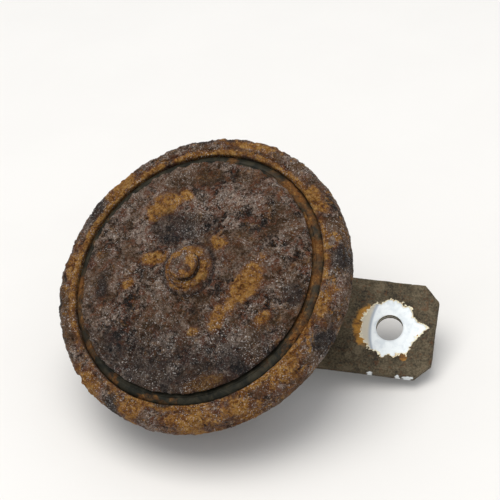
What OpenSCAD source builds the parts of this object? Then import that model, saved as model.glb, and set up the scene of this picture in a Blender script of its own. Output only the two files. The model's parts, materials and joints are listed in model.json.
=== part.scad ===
// Electromagnetic disc horn of the kind fitted to old motorcycles and cars.
// The horn is drawn about its own axis, with z = 0 half way up the rim and the face
// towards +Z, and place_part() then moves the whole of it, so that the origin is the
// middle of the bracket's mounting hole. All sizes are in millimetres.

/* [Rim and casing] */
// Radius of the widest edge of the front ring
rim_r = 47.8; // [47.6:0.1:48.6]
// Height of the ring's crown above the middle of the rim
ring_crown_z = 5.4; // [5:0.1:6]
// Radius of the ring's inner edge
ring_lip_r = 41; // [40.8:0.1:41.2]
// Thickness of the pressed sheet of the ring and the casing
sheet_t = 1.2; // [1:0.1:1.3]
// Distance from the middle of the rim back to the casing's rear face
casing_depth = 27.2; // [27:0.1:29]
// Radius of the flat area on the casing's rear face
casing_flat_r = 29; // [28:0.1:30]

/* [Tone disc] */
// Radius of the domed tone disc
disc_r = 37.8; // [30:0.1:38]
// Rise of its dome from edge to centre
disc_rise = 4.2; // [1:0.1:4.4]
// Thickness of the tone disc
disc_t = 1.5; // [1:0.1:1.6]
// Height of the disc's front face at its centre
disc_top_z = 10.8; // [10.4:0.1:12]
// Radius of the washer under the centre bolt
washer_r = 6.9; // [5:0.1:9]
// Width across the flats of the centre bolt's head
bolt_af = 8; // [7:0.1:10]
// Height of the centre bolt's head
bolt_head_h = 3.2; // [2:0.1:5]

/* [Bracket] */
// Width of the bracket strip
bracket_w = 31; // [24:0.5:31]
// Thickness of each of its two leaves
leaf_t = 1.5; // [1:0.1:1.5]
// Distance from the horn's axis to the bend
bend_x = 20; // [17:0.5:24]
// Angle by which the outer part is bent back
bend_angle = 14; // [8:1:20]
// Distance from the bend to the mounting hole
hole_run = 30.6; // [20:0.1:40]
// Diameter of the mounting hole
hole_d = 8.5; // [6.4:0.1:10.5]
// Distance from the mounting hole to the end of the strip
hole_to_end = 14.4; // [10:0.1:20]
// Size of the cut corners
corner_cut = 5; // [2:0.5:8]

/* [Magnet and moving stack] */
// Height of the magnet's pole faces
pole_z = -5.2; // [-5.4:0.1:-5]
// Radius of the magnet's centre pole
pole_r = 6; // [5:0.1:6]
// Length of the magnet core and the armature bar
core_l = 42; // [40:0.5:43]
// Width of the magnet core and the armature bar
core_w = 14; // [12:0.5:14]
// Thickness of the armature bar
armature_t = 3; // [2.6:0.1:3]
// Outer radius of the coil winding
coil_r = 12.6; // [9:0.1:13]

/* [Rear fittings] */
// Diameter of the rear mounting stud
stud_d = 6; // [5:0.5:6]
// Distance of the adjusting screw from the axis
adjuster_x = 24; // [22.5:0.1:24]
// Diameter of the terminal studs
terminal_d = 4; // [3:0.5:4]
// Distance between the two terminals
terminal_gap = 14; // [12:0.5:15]
// Distance of the terminal block's centre from the axis
terminal_block_r = 21.5; // [21:0.1:22]
// Direction of the terminal block, measured from the bracket
terminal_angle = 140; // [138:1:144]
// Direction of the contact breaker, measured from the side away from the bracket
breaker_angle = 20; // [16:1:24]

/* [Hidden] */

$fn = 96;
eps = 0.5;              // how far a cutter runs past the face it cuts
thread_gap = 0.05;      // play of a screw in its thread or a shaft in its bore
fit_gap = 0.08;         // play of the stud in the bracket

// Clamped edge, from the crimped lip upwards
gasket_t = 0.4;
diaphragm_t = 0.5;
edge_r = rim_r - sheet_t - 0.2;
flange_z = -2.6;
rear_gasket_z = flange_z + sheet_t;
clamp_z = rear_gasket_z + gasket_t;
front_gasket_z = clamp_z + diaphragm_t;
ring_foot_z = front_gasket_z + gasket_t;

// Rear face, from the casing backwards
rear_z = -casing_depth;
floor_z = rear_z + sheet_t;
back_plate_t = 0.8;
bracket_z = rear_z - back_plate_t;
bracket_back_z = bracket_z - 2 * leaf_t;
spring_washer_t = 1.6;
stud_nut_z = bracket_back_z - spring_washer_t;
stud_nut_h = 5;
stud_end_z = stud_nut_z - stud_nut_h - 1.2;
stud_r = stud_d / 2;

// Middle of the mounting hole, half way through the two leaves
hole_x = bend_x + hole_run * cos(bend_angle);
hole_z = bracket_z - leaf_t - hole_run * sin(bend_angle);

// Moving stack along the axis
membrane_z = 0;
front_washer_t = 1.2;
rear_washer_t = 1;
front_washer_z = membrane_z + diaphragm_t;
spacer_z = front_washer_z + front_washer_t;
armature_top_z = membrane_z - rear_washer_t;
armature_z = armature_top_z - armature_t;
centre_washer_t = 1.2;
bolt_r = 2.5;
bolt_hole_r = 2.7;
spindle_r = 4;

// Magnet
core_base_t = 5;
pole_side_t = 5.5;
core_base_z = floor_z + core_base_t;
rivet_y = core_l / 2 - 4;
bobbin_z = core_base_z + 0.2;
bobbin_top_z = pole_z - 4.2;
bobbin_flange_t = 1;
bobbin_flange_r = coil_r + 0.9;
bobbin_tube_r = pole_r + 1.2;

// Contact breaker, on the side away from the bracket
blade_t = 0.4;
blade_z = -7.5;
blade_w = 6;
blade_root_x = -33;
blade_tip_x = -11;
pusher_x = -12.5;
pusher_r = 1.4;
contact_x = -20;
contact_r = 2;
contact_h = 1;
arm_z = blade_z + blade_t + 2 * contact_h + 0.05;
arm_t = 0.8;
shelf_x = -34.5;
shelf_z = -12;
shelf_t = 1.5;
breaker_w = 12;
upright_x = -19;
foot_x = -11;
block_end_x = -26.5;
slot_h = 1;
breaker_screw_y = 4.3;
breaker_screw_x = -30.5;
breaker_screw_r = 1.2;

// Adjusting screw and terminals
adjuster_r = 2.5;
lock_nut_h = 3.2;
adjuster_end_z = rear_z - lock_nut_h - 2.6;
terminal_r = terminal_d / 2;
terminal_block_l = 22;
terminal_block_w = 9;
terminal_block_t = 3;
terminal_washer_t = 0.8;
terminal_nut_h = 3;
terminal_nut_z = rear_z - terminal_block_t - terminal_washer_t - terminal_nut_h;
terminal_tip_r = terminal_r - 0.5;
terminal_tip_l = 3;

// Suppressor
suppressor_x = 20;
suppressor_z = -21.4;
suppressor_r = 3;
suppressor_l = 18;

// Leads: hand-set routes from the coil and the breaker to the heads of the terminals
lead_r = 0.7;
coil_lead_route = [
    [-11, 6.4, -15], [-13, 7.5, -15.3], [-16.5, 8.2, -16.5], [-19.3, 8.5, -18.6],
    [-21, 8.5, -20.8], [-21, 8.5, -23]
];
breaker_lead_route = [
    [-28.7, -10.4, -4.2], [-28.7, -10.4, -3], [-27.6, -9, -2.2], [-26, -5.5, -2.2],
    [-25.5, 0, -3], [-24.5, 6, -6], [-21.5, 12, -10.5], [-17, 16.8, -15],
    [-13.2, 18.9, -18.8], [-12, 19.2, -21], [-12, 19.2, -23]
];

// Points along an arc in the (radius, height) plane
function arc(centre, r, from, to, steps = 8) =
    [for (i = [0:steps]) let (a = from + (to - from) * i / steps) centre + r * [cos(a), sin(a)]];

// Points along a stretch of an ellipse
function ellipse_arc(centre, rx, ry, from, to, steps = 10) =
    [for (i = [0:steps]) let (a = from + (to - from) * i / steps)
        centre + [rx * cos(a), ry * sin(a)]];

function unit(v) = v / norm(v);

// Left-hand normal of a path at point i
function path_normal(path, i) =
    let (before = path[max(i - 1, 0)], after = path[min(i + 1, len(path) - 1)],
         along = unit(after - before))
    [-along[1], along[0]];

// Outline of a sheet whose right-hand face follows the path
function sheet_outline(path, t) = concat(
    path,
    [for (i = [len(path) - 1:-1:0]) path[i] + t * path_normal(path, i)]
);

// Height of the tone disc's front face at radius r
function dome_z(r) = disc_top_z - disc_rise * pow(r / disc_r, 2);

// Round wire along a route: one ring of points across the path at each of its points
function wire_ring(route, i, r, sides) =
    let (along = unit(route[min(i + 1, len(route) - 1)] - route[max(i - 1, 0)]),
         side = unit(cross(along, abs(along[2]) < 0.9 ? [0, 0, 1] : [1, 0, 0])),
         up = cross(side, along))
    [for (k = [0:sides - 1]) let (a = 360 * k / sides)
        route[i] + r * (side * cos(a) + up * sin(a))];

module place_part() {
    translate([-hole_x, 0, -hole_z]) children();
}

module revolve(points) {
    rotate_extrude() polygon(points);
}

module tube(r_out, r_in, z, h) {
    translate([0, 0, z]) difference() {
        cylinder(r = r_out, h = h);
        translate([0, 0, -eps]) cylinder(r = r_in, h = h + 2 * eps);
    }
}

module hex_prism(across_flats, z, h) {
    translate([0, 0, z]) cylinder(d = across_flats / cos(30), h = h, $fn = 6);
}

module hex_nut(across_flats, r_in, z, h) {
    difference() {
        hex_prism(across_flats, z, h);
        translate([0, 0, z - eps]) cylinder(r = r_in, h = h + 2 * eps);
    }
}

module box(from, to) {
    translate(from) cube(to - from);
}

// Puts its children at each terminal
module at_terminals() {
    rotate([0, 0, terminal_angle])
        for (side = [-1, 1]) translate([terminal_block_r, side * terminal_gap / 2, 0]) children();
}

// Turns its children with the contact breaker
module at_breaker() {
    rotate([0, 0, breaker_angle]) children();
}

module at_adjuster() {
    at_breaker() translate([-adjuster_x, 0, 0]) children();
}

module at_rivets() {
    for (side = [-1, 1]) translate([0, side * rivet_y, 0]) children();
}

module wire(route, r, sides = 8) {
    rings = [for (i = [0:len(route) - 1]) wire_ring(route, i, r, sides)];
    last = (len(route) - 1) * sides;
    polyhedron(
        points = [for (ring = rings) for (p = ring) p],
        faces = concat(
            [[for (k = [sides - 1:-1:0]) k]],
            [[for (k = [0:sides - 1]) last + k]],
            [for (i = [0:len(route) - 2]) for (k = [0:sides - 1])
                [i * sides + k, i * sides + (k + 1) % sides, (i + 1) * sides + (k + 1) % sides]],
            [for (i = [0:len(route) - 2]) for (k = [0:sides - 1])
                [i * sides + k, (i + 1) * sides + (k + 1) % sides, (i + 1) * sides + k]]
        )
    );
}

// Strip of the bracket seen from the front: round about the stud, cut corners at the end
module bracket_plan() {
    half_w = bracket_w / 2;
    end_x = hole_x + hole_to_end * cos(bend_angle);
    union() {
        circle(r = half_w);
        polygon([
            [0, -half_w], [end_x - corner_cut, -half_w], [end_x, -half_w + corner_cut],
            [end_x, half_w - corner_cut], [end_x - corner_cut, half_w], [0, half_w]
        ]);
    }
}

// One leaf, whose front face starts at front_z behind the horn
module bracket_leaf(front_z) {
    reach = hole_run + hole_to_end + 20;
    back_z = front_z - leaf_t;
    shift = leaf_t * tan(bend_angle / 2);
    along = [cos(bend_angle), -sin(bend_angle)];
    half_turn = tan(bend_angle / 2);
    front_bend = [bend_x + (front_z - bracket_z + leaf_t) * half_turn, front_z];
    back_bend = front_bend - [shift, leaf_t];
    difference() {
        intersection() {
            translate([0, 0, hole_z - 30]) linear_extrude(height = 60) bracket_plan();
            rotate([90, 0, 0]) translate([0, 0, -bracket_w]) linear_extrude(height = 2 * bracket_w)
                polygon([
                    [-bracket_w, back_z], back_bend, back_bend + reach * along,
                    front_bend + reach * along, front_bend, [-bracket_w, front_z]
                ]);
        }
        translate([0, 0, back_z - eps]) cylinder(r = stud_r + fit_gap, h = leaf_t + 2 * eps);
        translate([hole_x, 0, hole_z]) rotate([0, bend_angle, 0])
            cylinder(d = hole_d, h = 20, center = true);
    }
}

module bracket_leaf_front() {
    color([0.27, 0.24, 0.2]) place_part() bracket_leaf(bracket_z);
}

module bracket_leaf_rear() {
    color([0.24, 0.22, 0.19]) place_part() bracket_leaf(bracket_z - leaf_t);
}

// Pressed bowl: flange, tapering wall, rounded corner and flat rear
module housing() {
    corner_r = 5;
    outer = concat(
        [[edge_r, flange_z], [43.4, flange_z], [42.5, flange_z - 0.5], [42.1, flange_z - 1.4]],
        arc([casing_flat_r, rear_z + corner_r], corner_r, -22, -90, 6),
        [[1, rear_z]]
    );
    color([0.3, 0.27, 0.25]) place_part() difference() {
        revolve(sheet_outline([for (i = [len(outer) - 1:-1:0]) outer[i]], sheet_t));
        translate([0, 0, rear_z - eps]) cylinder(r = stud_r + thread_gap, h = sheet_t + 2 * eps);
        translate([0, 0, rear_z - eps]) at_rivets() cylinder(r = 1.55, h = sheet_t + 2 * eps);
        translate([0, 0, rear_z - eps]) at_adjuster()
            cylinder(r = adjuster_r + 0.5, h = sheet_t + 2 * eps);
        translate([0, 0, rear_z - eps]) at_terminals()
            cylinder(r = terminal_r + 1.2, h = sheet_t + 2 * eps);
    }
}

// Bezel rolled round the casing's flange, convex in front, with a leg down to the gasket
module front_ring() {
    crown = [ring_lip_r + 1.3, 0.6];
    lip = [ring_lip_r + 1.3, ring_crown_z - 1.3];
    crimp_z = flange_z - sheet_t;
    outer = concat(
        [[43.2, crimp_z]],
        arc([rim_r - sheet_t, flange_z], sheet_t, -90, 0, 4),
        ellipse_arc(crown, rim_r - crown[0], ring_crown_z - crown[1], 0, 84, 10),
        arc(lip, 1.3, 90, 180, 5),
        [[ring_lip_r, ring_foot_z]]
    );
    inner = concat(
        [[44, ring_foot_z], [44, ring_foot_z + 1], [ring_lip_r + sheet_t, ring_foot_z + 1]],
        [[ring_lip_r + sheet_t, ring_crown_z - 1.4]],
        ellipse_arc(crown, rim_r - sheet_t - crown[0], ring_crown_z - sheet_t - crown[1], 75, 0, 8),
        [[rim_r - sheet_t, flange_z], [43.2, flange_z]]
    );
    color([0.38, 0.3, 0.24]) place_part() revolve(concat(outer, inner));
}

module front_gasket() {
    color([0.2, 0.18, 0.15]) place_part()
        tube(edge_r, ring_lip_r + 0.2, front_gasket_z, gasket_t);
}

module rear_gasket() {
    color([0.2, 0.18, 0.15]) place_part()
        tube(edge_r, ring_lip_r + 0.2, rear_gasket_z, gasket_t);
}

module back_plate() {
    color([0.34, 0.31, 0.28]) place_part() tube(13, stud_r + thread_gap, bracket_z, back_plate_t);
}

// Rear stud, screwed into the magnet core
module mounting_stud() {
    tip = 0.6;
    color([0.45, 0.42, 0.38]) place_part() revolve([
        [0, stud_end_z], [stud_r - tip, stud_end_z], [stud_r, stud_end_z + tip],
        [stud_r, core_base_z - 1], [0, core_base_z - 1]
    ]);
}

module spring_washer() {
    color([0.35, 0.32, 0.3]) place_part() difference() {
        tube(5.4, stud_r + 0.3, stud_nut_z, spring_washer_t);
        rotate([0, 0, 200]) box([2, -0.5, stud_nut_z - eps], [7, 0.5, bracket_back_z + eps]);
    }
}

module stud_nut() {
    color([0.4, 0.36, 0.32]) place_part()
        hex_nut(10, stud_r + thread_gap, stud_nut_z - stud_nut_h, stud_nut_h);
}

// Soft-iron core shaped like a letter E: base bar, round centre pole and two side poles
module magnet_core() {
    half_w = core_w / 2;
    half_l = core_l / 2;
    color([0.42, 0.4, 0.38]) place_part() difference() {
        union() {
            box([-half_w, -half_l, floor_z], [half_w, half_l, core_base_z]);
            translate([0, 0, core_base_z - eps]) cylinder(r = pole_r, h = pole_z - core_base_z + eps);
            box([-half_w, half_l - pole_side_t, core_base_z - eps], [half_w, half_l, pole_z]);
            box([-half_w, -half_l, core_base_z - eps], [half_w, pole_side_t - half_l, pole_z]);
        }
        translate([0, 0, floor_z - eps])
            cylinder(r = stud_r + thread_gap, h = core_base_t - 0.9 + eps);
        translate([0, 0, floor_z - eps]) at_rivets() cylinder(r = 1.55, h = 3 + eps);
    }
}

module core_rivets() {
    color([0.4, 0.37, 0.34]) place_part() at_rivets() union() {
        translate([0, 0, rear_z - 0.7]) cylinder(r = 2.6, h = 0.7);
        translate([0, 0, rear_z - 0.1]) cylinder(r = 1.5, h = sheet_t + 3);
    }
}

module coil_bobbin() {
    color([0.36, 0.2, 0.1]) place_part() union() {
        tube(bobbin_tube_r, pole_r + 0.2, bobbin_z, bobbin_top_z - bobbin_z);
        tube(bobbin_flange_r, pole_r + 0.2, bobbin_z, bobbin_flange_t);
        tube(bobbin_flange_r, pole_r + 0.2, bobbin_top_z - bobbin_flange_t, bobbin_flange_t);
    }
}

module coil_winding() {
    play = 0.05;
    low_z = bobbin_z + bobbin_flange_t + play;
    high_z = bobbin_top_z - bobbin_flange_t - play;
    color([0.5, 0.24, 0.1]) place_part()
        tube(coil_r, bobbin_tube_r + play, low_z, high_z - low_z);
}

// Steel step that carries the contact breaker: foot on the casing floor, upright and shelf
module breaker_bracket() {
    half_w = breaker_w / 2;
    color([0.45, 0.43, 0.4]) place_part() at_breaker() difference() {
        union() {
            box([upright_x, -half_w, floor_z], [foot_x, half_w, floor_z + shelf_t]);
            box([upright_x, -half_w, floor_z], [upright_x + shelf_t, half_w, shelf_z]);
            box([shelf_x, -half_w, shelf_z - shelf_t], [upright_x + shelf_t, half_w, shelf_z]);
        }
        at_breaker_screws() translate([0, 0, shelf_z - shelf_t - eps])
            cylinder(r = breaker_screw_r + thread_gap, h = shelf_t + 2 * eps);
    }
}

module at_breaker_screws() {
    for (side = [-1, 1]) translate([breaker_screw_x, side * breaker_screw_y, 0]) children();
}

// Insulating block, slotted for the root of the contact blade
module breaker_block() {
    half_w = breaker_w / 2;
    slot_mid = blade_z + blade_t / 2;
    color([0.22, 0.13, 0.09]) place_part() at_breaker() difference() {
        box([shelf_x, -half_w, shelf_z], [block_end_x, half_w, arm_z]);
        box([shelf_x + 1, -2.9, slot_mid - slot_h / 2], [block_end_x + eps, 2.9, slot_mid + slot_h / 2]);
        at_breaker_screws() translate([0, 0, shelf_z - eps])
            cylinder(r = breaker_screw_r + thread_gap, h = arm_z - shelf_z + 2 * eps);
    }
}

module breaker_screws() {
    color([0.6, 0.58, 0.5]) place_part() at_breaker() at_breaker_screws() union() {
        translate([0, 0, shelf_z - shelf_t - 1]) cylinder(r = breaker_screw_r, h = arm_z - shelf_z + 4);
        translate([0, 0, arm_z + arm_t]) cylinder(r = 1.6, h = 1.4);
    }
}

module fixed_contact_arm() {
    half_w = breaker_w / 2;
    color([0.66, 0.52, 0.26]) place_part() at_breaker() difference() {
        union() {
            box([shelf_x, -half_w, arm_z], [block_end_x, half_w, arm_z + arm_t]);
            box([block_end_x - eps, -3, arm_z], [contact_x + 2.6, 3, arm_z + arm_t]);
        }
        at_breaker_screws() translate([0, 0, arm_z - eps])
            cylinder(r = breaker_screw_r + thread_gap, h = arm_t + 2 * eps);
    }
}

module fixed_contact() {
    color([0.7, 0.7, 0.72]) place_part() at_breaker()
        translate([contact_x, 0, arm_z - contact_h]) cylinder(r = contact_r, h = contact_h);
}

// Spring blade, whose root rocks in the block's slot and whose tip lies under the pusher
module contact_blade() {
    half_w = blade_w / 2 - 0.4;
    color([0.6, 0.56, 0.48]) place_part() at_breaker()
        box([blade_root_x, -half_w, blade_z], [blade_tip_x, half_w, blade_z + blade_t]);
}

module moving_contact() {
    color([0.7, 0.7, 0.72]) place_part() at_breaker()
        translate([contact_x, 0, blade_z + blade_t]) cylinder(r = contact_r, h = contact_h);
}

// Spark suppressor: a small wound resistor lying across the casing floor
module suppressor() {
    color([0.55, 0.5, 0.42]) place_part()
        translate([suppressor_x, 0, suppressor_z]) rotate([90, 0, 0]) union() {
            cylinder(r = suppressor_r, h = suppressor_l, center = true);
            cylinder(r = 1, h = suppressor_l + 5, center = true);
        }
}

// Saddle clip over the suppressor, with two feet on the casing floor
module suppressor_clip() {
    clip_r = suppressor_r + 0.1;
    clip_t = 0.7;
    clip_w = 6;
    color([0.5, 0.48, 0.44]) place_part() translate([suppressor_x, 0, 0]) difference() {
        union() {
            translate([0, 0, suppressor_z]) rotate([90, 0, 0])
                cylinder(r = clip_r + clip_t, h = clip_w, center = true);
            box([-clip_r - clip_t, -clip_w / 2, floor_z], [clip_r + clip_t, clip_w / 2, suppressor_z]);
            box([-clip_r - 3, -clip_w / 2, floor_z], [clip_r + 3, clip_w / 2, floor_z + clip_t]);
        }
        translate([0, 0, suppressor_z]) rotate([90, 0, 0])
            cylinder(r = clip_r, h = clip_w + 2 * eps, center = true);
        box([-clip_r, -clip_w, floor_z - eps], [clip_r, clip_w, suppressor_z]);
    }
}

// Screw that sets the contact gap, slotted at its outer end
module adjusting_screw() {
    color([0.55, 0.5, 0.42]) place_part() at_adjuster() difference() {
        translate([0, 0, adjuster_end_z])
            cylinder(r = adjuster_r, h = shelf_z - shelf_t - 0.3 - adjuster_end_z);
        box([-4, -0.5, adjuster_end_z - eps], [4, 0.5, adjuster_end_z + 1.4]);
    }
}

module adjuster_bush() {
    color([0.6, 0.5, 0.28]) place_part() at_adjuster() union() {
        tube(4.2, adjuster_r + thread_gap, floor_z, 4);
        tube(adjuster_r + 0.45, adjuster_r + thread_gap, rear_z, sheet_t + 0.1);
    }
}

module adjuster_lock_nut() {
    color([0.5, 0.46, 0.4]) place_part() at_adjuster()
        hex_nut(8, adjuster_r + thread_gap, rear_z - lock_nut_h, lock_nut_h);
}

module terminal_block() {
    half_l = terminal_block_l / 2;
    half_w = terminal_block_w / 2;
    color([0.16, 0.1, 0.07]) place_part() difference() {
        rotate([0, 0, terminal_angle])
            box([terminal_block_r - half_w, -half_l, rear_z - terminal_block_t],
                [terminal_block_r + half_w, half_l, rear_z]);
        translate([0, 0, rear_z - terminal_block_t - eps]) at_terminals()
            cylinder(r = terminal_r + 0.1, h = terminal_block_t + 2 * eps);
    }
}

// Collars that keep the terminal studs clear of the casing
module terminal_bushes() {
    color([0.5, 0.36, 0.2]) place_part() at_terminals() union() {
        tube(4, terminal_r + 0.1, floor_z, 1);
        tube(terminal_r + 1.1, terminal_r + 0.1, rear_z, sheet_t + 0.1);
    }
}

module terminal_studs() {
    color([0.62, 0.52, 0.3]) place_part() at_terminals() union() {
        translate([0, 0, terminal_nut_z]) cylinder(r = terminal_r, h = floor_z + 2 - terminal_nut_z);
        translate([0, 0, terminal_nut_z - terminal_tip_l])
            cylinder(r = terminal_tip_r, h = terminal_tip_l + eps);
        translate([0, 0, floor_z + 1]) cylinder(r = 3.4, h = 2);
    }
}

module terminal_washers() {
    color([0.58, 0.5, 0.32]) place_part() at_terminals()
        tube(4, terminal_r + 0.1, terminal_nut_z + terminal_nut_h, terminal_washer_t);
}

module terminal_nuts() {
    color([0.62, 0.52, 0.3]) place_part() at_terminals()
        hex_nut(7, terminal_r + thread_gap, terminal_nut_z, terminal_nut_h);
}

module coil_lead() {
    color([0.2, 0.1, 0.08]) place_part() wire(coil_lead_route, lead_r);
}

module breaker_lead() {
    color([0.2, 0.1, 0.08]) place_part() wire(breaker_lead_route, lead_r);
}

// Spring-steel membrane: clamped edge, high outer bead, low inner bead and flat centre
module diaphragm() {
    bead_r = ring_lip_r - 1;
    bead_z = 3.8;
    lower = concat(
        [[spindle_r + thread_gap, membrane_z], [21, membrane_z]],
        [[23, membrane_z + 0.7], [25, membrane_z + 1], [27, membrane_z + 0.7], [29, membrane_z]],
        [[33.5, membrane_z], [35, membrane_z + 0.6], [36.8, bead_z - 1.2]],
        arc([bead_r - 1.7, bead_z - 1.4], 1.4, 140, 90, 4),
        arc([bead_r - 0.7, bead_z - 0.7], 0.7, 90, 0, 4),
        [[bead_r, clamp_z + 0.9], [bead_r + 0.2, clamp_z + 0.2], [bead_r + 0.6, clamp_z]],
        [[edge_r, clamp_z]]
    );
    color([0.2, 0.22, 0.2]) place_part() revolve(sheet_outline(lower, diaphragm_t));
}

module front_clamp_washer() {
    color([0.4, 0.38, 0.35]) place_part()
        tube(10, spindle_r + thread_gap, front_washer_z, front_washer_t);
}

module rear_clamp_washer() {
    color([0.4, 0.38, 0.35]) place_part()
        tube(9, spindle_r + thread_gap, armature_top_z, rear_washer_t);
}

// Soft-iron bar over the poles, with a tongue that carries the pusher
module armature() {
    half_w = core_w / 2;
    half_l = core_l / 2;
    color([0.42, 0.4, 0.38]) place_part() difference() {
        union() {
            box([-half_w, -half_l, armature_z], [half_w, half_l, armature_top_z]);
            at_breaker() box([pusher_x - 3, -4, armature_z], [-half_w + 2, 4, armature_z + 1.6]);
        }
        translate([0, 0, armature_z - eps])
            cylinder(r = spindle_r + thread_gap, h = armature_t + 2 * eps);
    }
}

// Threaded core of the stack, staked into the armature
module armature_spindle() {
    color([0.5, 0.48, 0.45]) place_part() difference() {
        translate([0, 0, armature_z]) cylinder(r = spindle_r, h = spacer_z - armature_z);
        translate([0, 0, armature_z + 1]) cylinder(r = bolt_r + thread_gap, h = 10);
    }
}

module pusher() {
    low_z = blade_z + blade_t + 0.1;
    color([0.4, 0.26, 0.15]) place_part() at_breaker() translate([pusher_x, 0, low_z])
        cylinder(r = pusher_r, h = armature_z - low_z);
}

module spacer() {
    high_z = dome_z(4.5) - disc_t - 0.02;
    color([0.45, 0.42, 0.38]) place_part() tube(4.5, bolt_hole_r, spacer_z, high_z - spacer_z);
}

// Shallow dome that radiates the sound
module tone_disc() {
    steps = 16;
    rs = [for (i = [0:steps]) bolt_hole_r + (disc_r - bolt_hole_r) * i / steps];
    color([0.43, 0.38, 0.37]) place_part() revolve(concat(
        [for (r = rs) [r, dome_z(r) - disc_t]],
        [for (i = [steps:-1:0]) [rs[i], dome_z(rs[i])]]
    ));
}

module centre_washer() {
    color([0.62, 0.42, 0.25]) place_part() tube(washer_r, bolt_hole_r, disc_top_z, centre_washer_t);
}

module centre_bolt() {
    head_z = disc_top_z + centre_washer_t;
    shank_end_z = armature_z + 2;
    color([0.4, 0.3, 0.24]) place_part() union() {
        hex_prism(bolt_af, head_z, bolt_head_h);
        translate([0, 0, shank_end_z]) cylinder(r = bolt_r, h = head_z - shank_end_z + eps);
    }
}

bracket_leaf_front();
bracket_leaf_rear();
housing();
front_ring();
front_gasket();
rear_gasket();
back_plate();
mounting_stud();
spring_washer();
stud_nut();
magnet_core();
core_rivets();
coil_bobbin();
coil_winding();
breaker_bracket();
breaker_block();
breaker_screws();
fixed_contact_arm();
fixed_contact();
contact_blade();
moving_contact();
suppressor();
suppressor_clip();
adjusting_screw();
adjuster_bush();
adjuster_lock_nut();
terminal_block();
terminal_bushes();
terminal_studs();
terminal_washers();
terminal_nuts();
coil_lead();
breaker_lead();
diaphragm();
front_clamp_washer();
rear_clamp_washer();
armature();
armature_spindle();
pusher();
spacer();
tone_disc();
centre_washer();
centre_bolt();
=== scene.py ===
"""Looks of an old electromagnetic disc horn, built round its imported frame.

Lengths inside the shape functions are millimetres, about the horn's own axis or about the
bracket's hole; on_horn() and on_strip() turn them into the frame's metres.
"""

import json

import bpy
import numpy as np
from bpy.props import FloatProperty, FloatVectorProperty, PointerProperty
from mathutils import Euler, Matrix, Vector

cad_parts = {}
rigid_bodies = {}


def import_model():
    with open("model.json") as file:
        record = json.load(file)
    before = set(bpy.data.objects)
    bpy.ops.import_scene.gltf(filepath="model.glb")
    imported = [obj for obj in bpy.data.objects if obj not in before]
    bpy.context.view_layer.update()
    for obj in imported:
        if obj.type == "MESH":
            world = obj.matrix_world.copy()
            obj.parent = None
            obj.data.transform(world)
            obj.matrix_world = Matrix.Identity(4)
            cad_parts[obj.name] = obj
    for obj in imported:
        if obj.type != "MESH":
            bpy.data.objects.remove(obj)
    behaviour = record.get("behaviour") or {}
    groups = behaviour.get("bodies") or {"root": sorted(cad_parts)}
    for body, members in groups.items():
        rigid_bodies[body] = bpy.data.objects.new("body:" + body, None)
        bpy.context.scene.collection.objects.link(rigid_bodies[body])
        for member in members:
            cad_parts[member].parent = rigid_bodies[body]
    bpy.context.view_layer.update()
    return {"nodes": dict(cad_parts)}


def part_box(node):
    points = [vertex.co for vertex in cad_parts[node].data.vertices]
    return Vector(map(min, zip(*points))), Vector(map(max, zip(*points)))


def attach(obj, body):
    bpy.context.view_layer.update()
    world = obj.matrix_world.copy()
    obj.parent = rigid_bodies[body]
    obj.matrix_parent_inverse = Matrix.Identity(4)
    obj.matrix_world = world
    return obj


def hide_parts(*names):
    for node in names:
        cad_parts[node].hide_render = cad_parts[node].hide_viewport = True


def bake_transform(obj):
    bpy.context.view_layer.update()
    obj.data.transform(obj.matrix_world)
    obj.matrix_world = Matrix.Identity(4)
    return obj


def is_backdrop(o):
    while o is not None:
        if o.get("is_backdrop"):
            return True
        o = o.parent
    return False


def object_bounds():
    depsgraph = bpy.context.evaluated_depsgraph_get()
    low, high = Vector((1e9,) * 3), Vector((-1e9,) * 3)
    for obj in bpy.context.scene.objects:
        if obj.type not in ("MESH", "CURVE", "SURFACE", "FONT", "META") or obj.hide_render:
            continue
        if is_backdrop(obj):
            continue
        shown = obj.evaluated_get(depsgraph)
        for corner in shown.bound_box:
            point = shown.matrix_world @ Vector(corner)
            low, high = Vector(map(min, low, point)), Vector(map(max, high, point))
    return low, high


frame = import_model()

bl_info = {
    "name": "Disc Horn",
    "version": (1, 0, 0),
    "blender": (4, 5, 0),
    "location": "View3D > Sidebar > Disc Horn",
    "description": "Builds the rusted surfaces of a disc horn round its frame",
    "category": "Object",
}

MM = 0.001


# ---- Sizes read from the frame ----

def low_high(node):
    """Lowest and highest corner of a node, in millimetres."""
    low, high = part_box(node)
    return np.array(low) / MM, np.array(high) / MM


RING_LOW, RING_HIGH = low_high("front_ring")
DISC_LOW, DISC_HIGH = low_high("tone_disc")
CASING_LOW = low_high("housing")[0]
CROWN_Z = 5.4       # the ring's crown above the middle of the rim
HORN = np.array([(DISC_LOW[0] + DISC_HIGH[0]) / 2, 0, RING_HIGH[2] - CROWN_Z])
RIM_R = (RING_HIGH[0] - RING_LOW[0]) / 2
DISC_R = (DISC_HIGH[0] - DISC_LOW[0]) / 2
DISC_TOP = DISC_HIGH[2] - HORN[2]
REAR_Z = CASING_LOW[2] - HORN[2]


def on_horn(points):
    """Millimetres about the horn's axis to metres in the frame."""
    return (points + HORN) * MM


# ---- Numbers that repeat: noise on whole arrays ----

TURN = np.array(Euler((0.7, 1.1, 0.4)).to_matrix())


def hashed(cell, seed):
    """Repeatable number from 0 to 1 for each whole-number cell."""
    n = cell[..., 0] * 374761393 + cell[..., 1] * 668265263 + cell[..., 2] * 1440670441
    n = (n + seed * 974711) & 0xFFFFFFFF
    n = ((n ^ (n >> 13)) * 1274126177) & 0xFFFFFFFF
    n = ((n ^ (n >> 15)) * 461845907) & 0xFFFFFFFF
    return ((n ^ (n >> 16)) & 0xFFFFFF) / 0xFFFFFF


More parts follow.
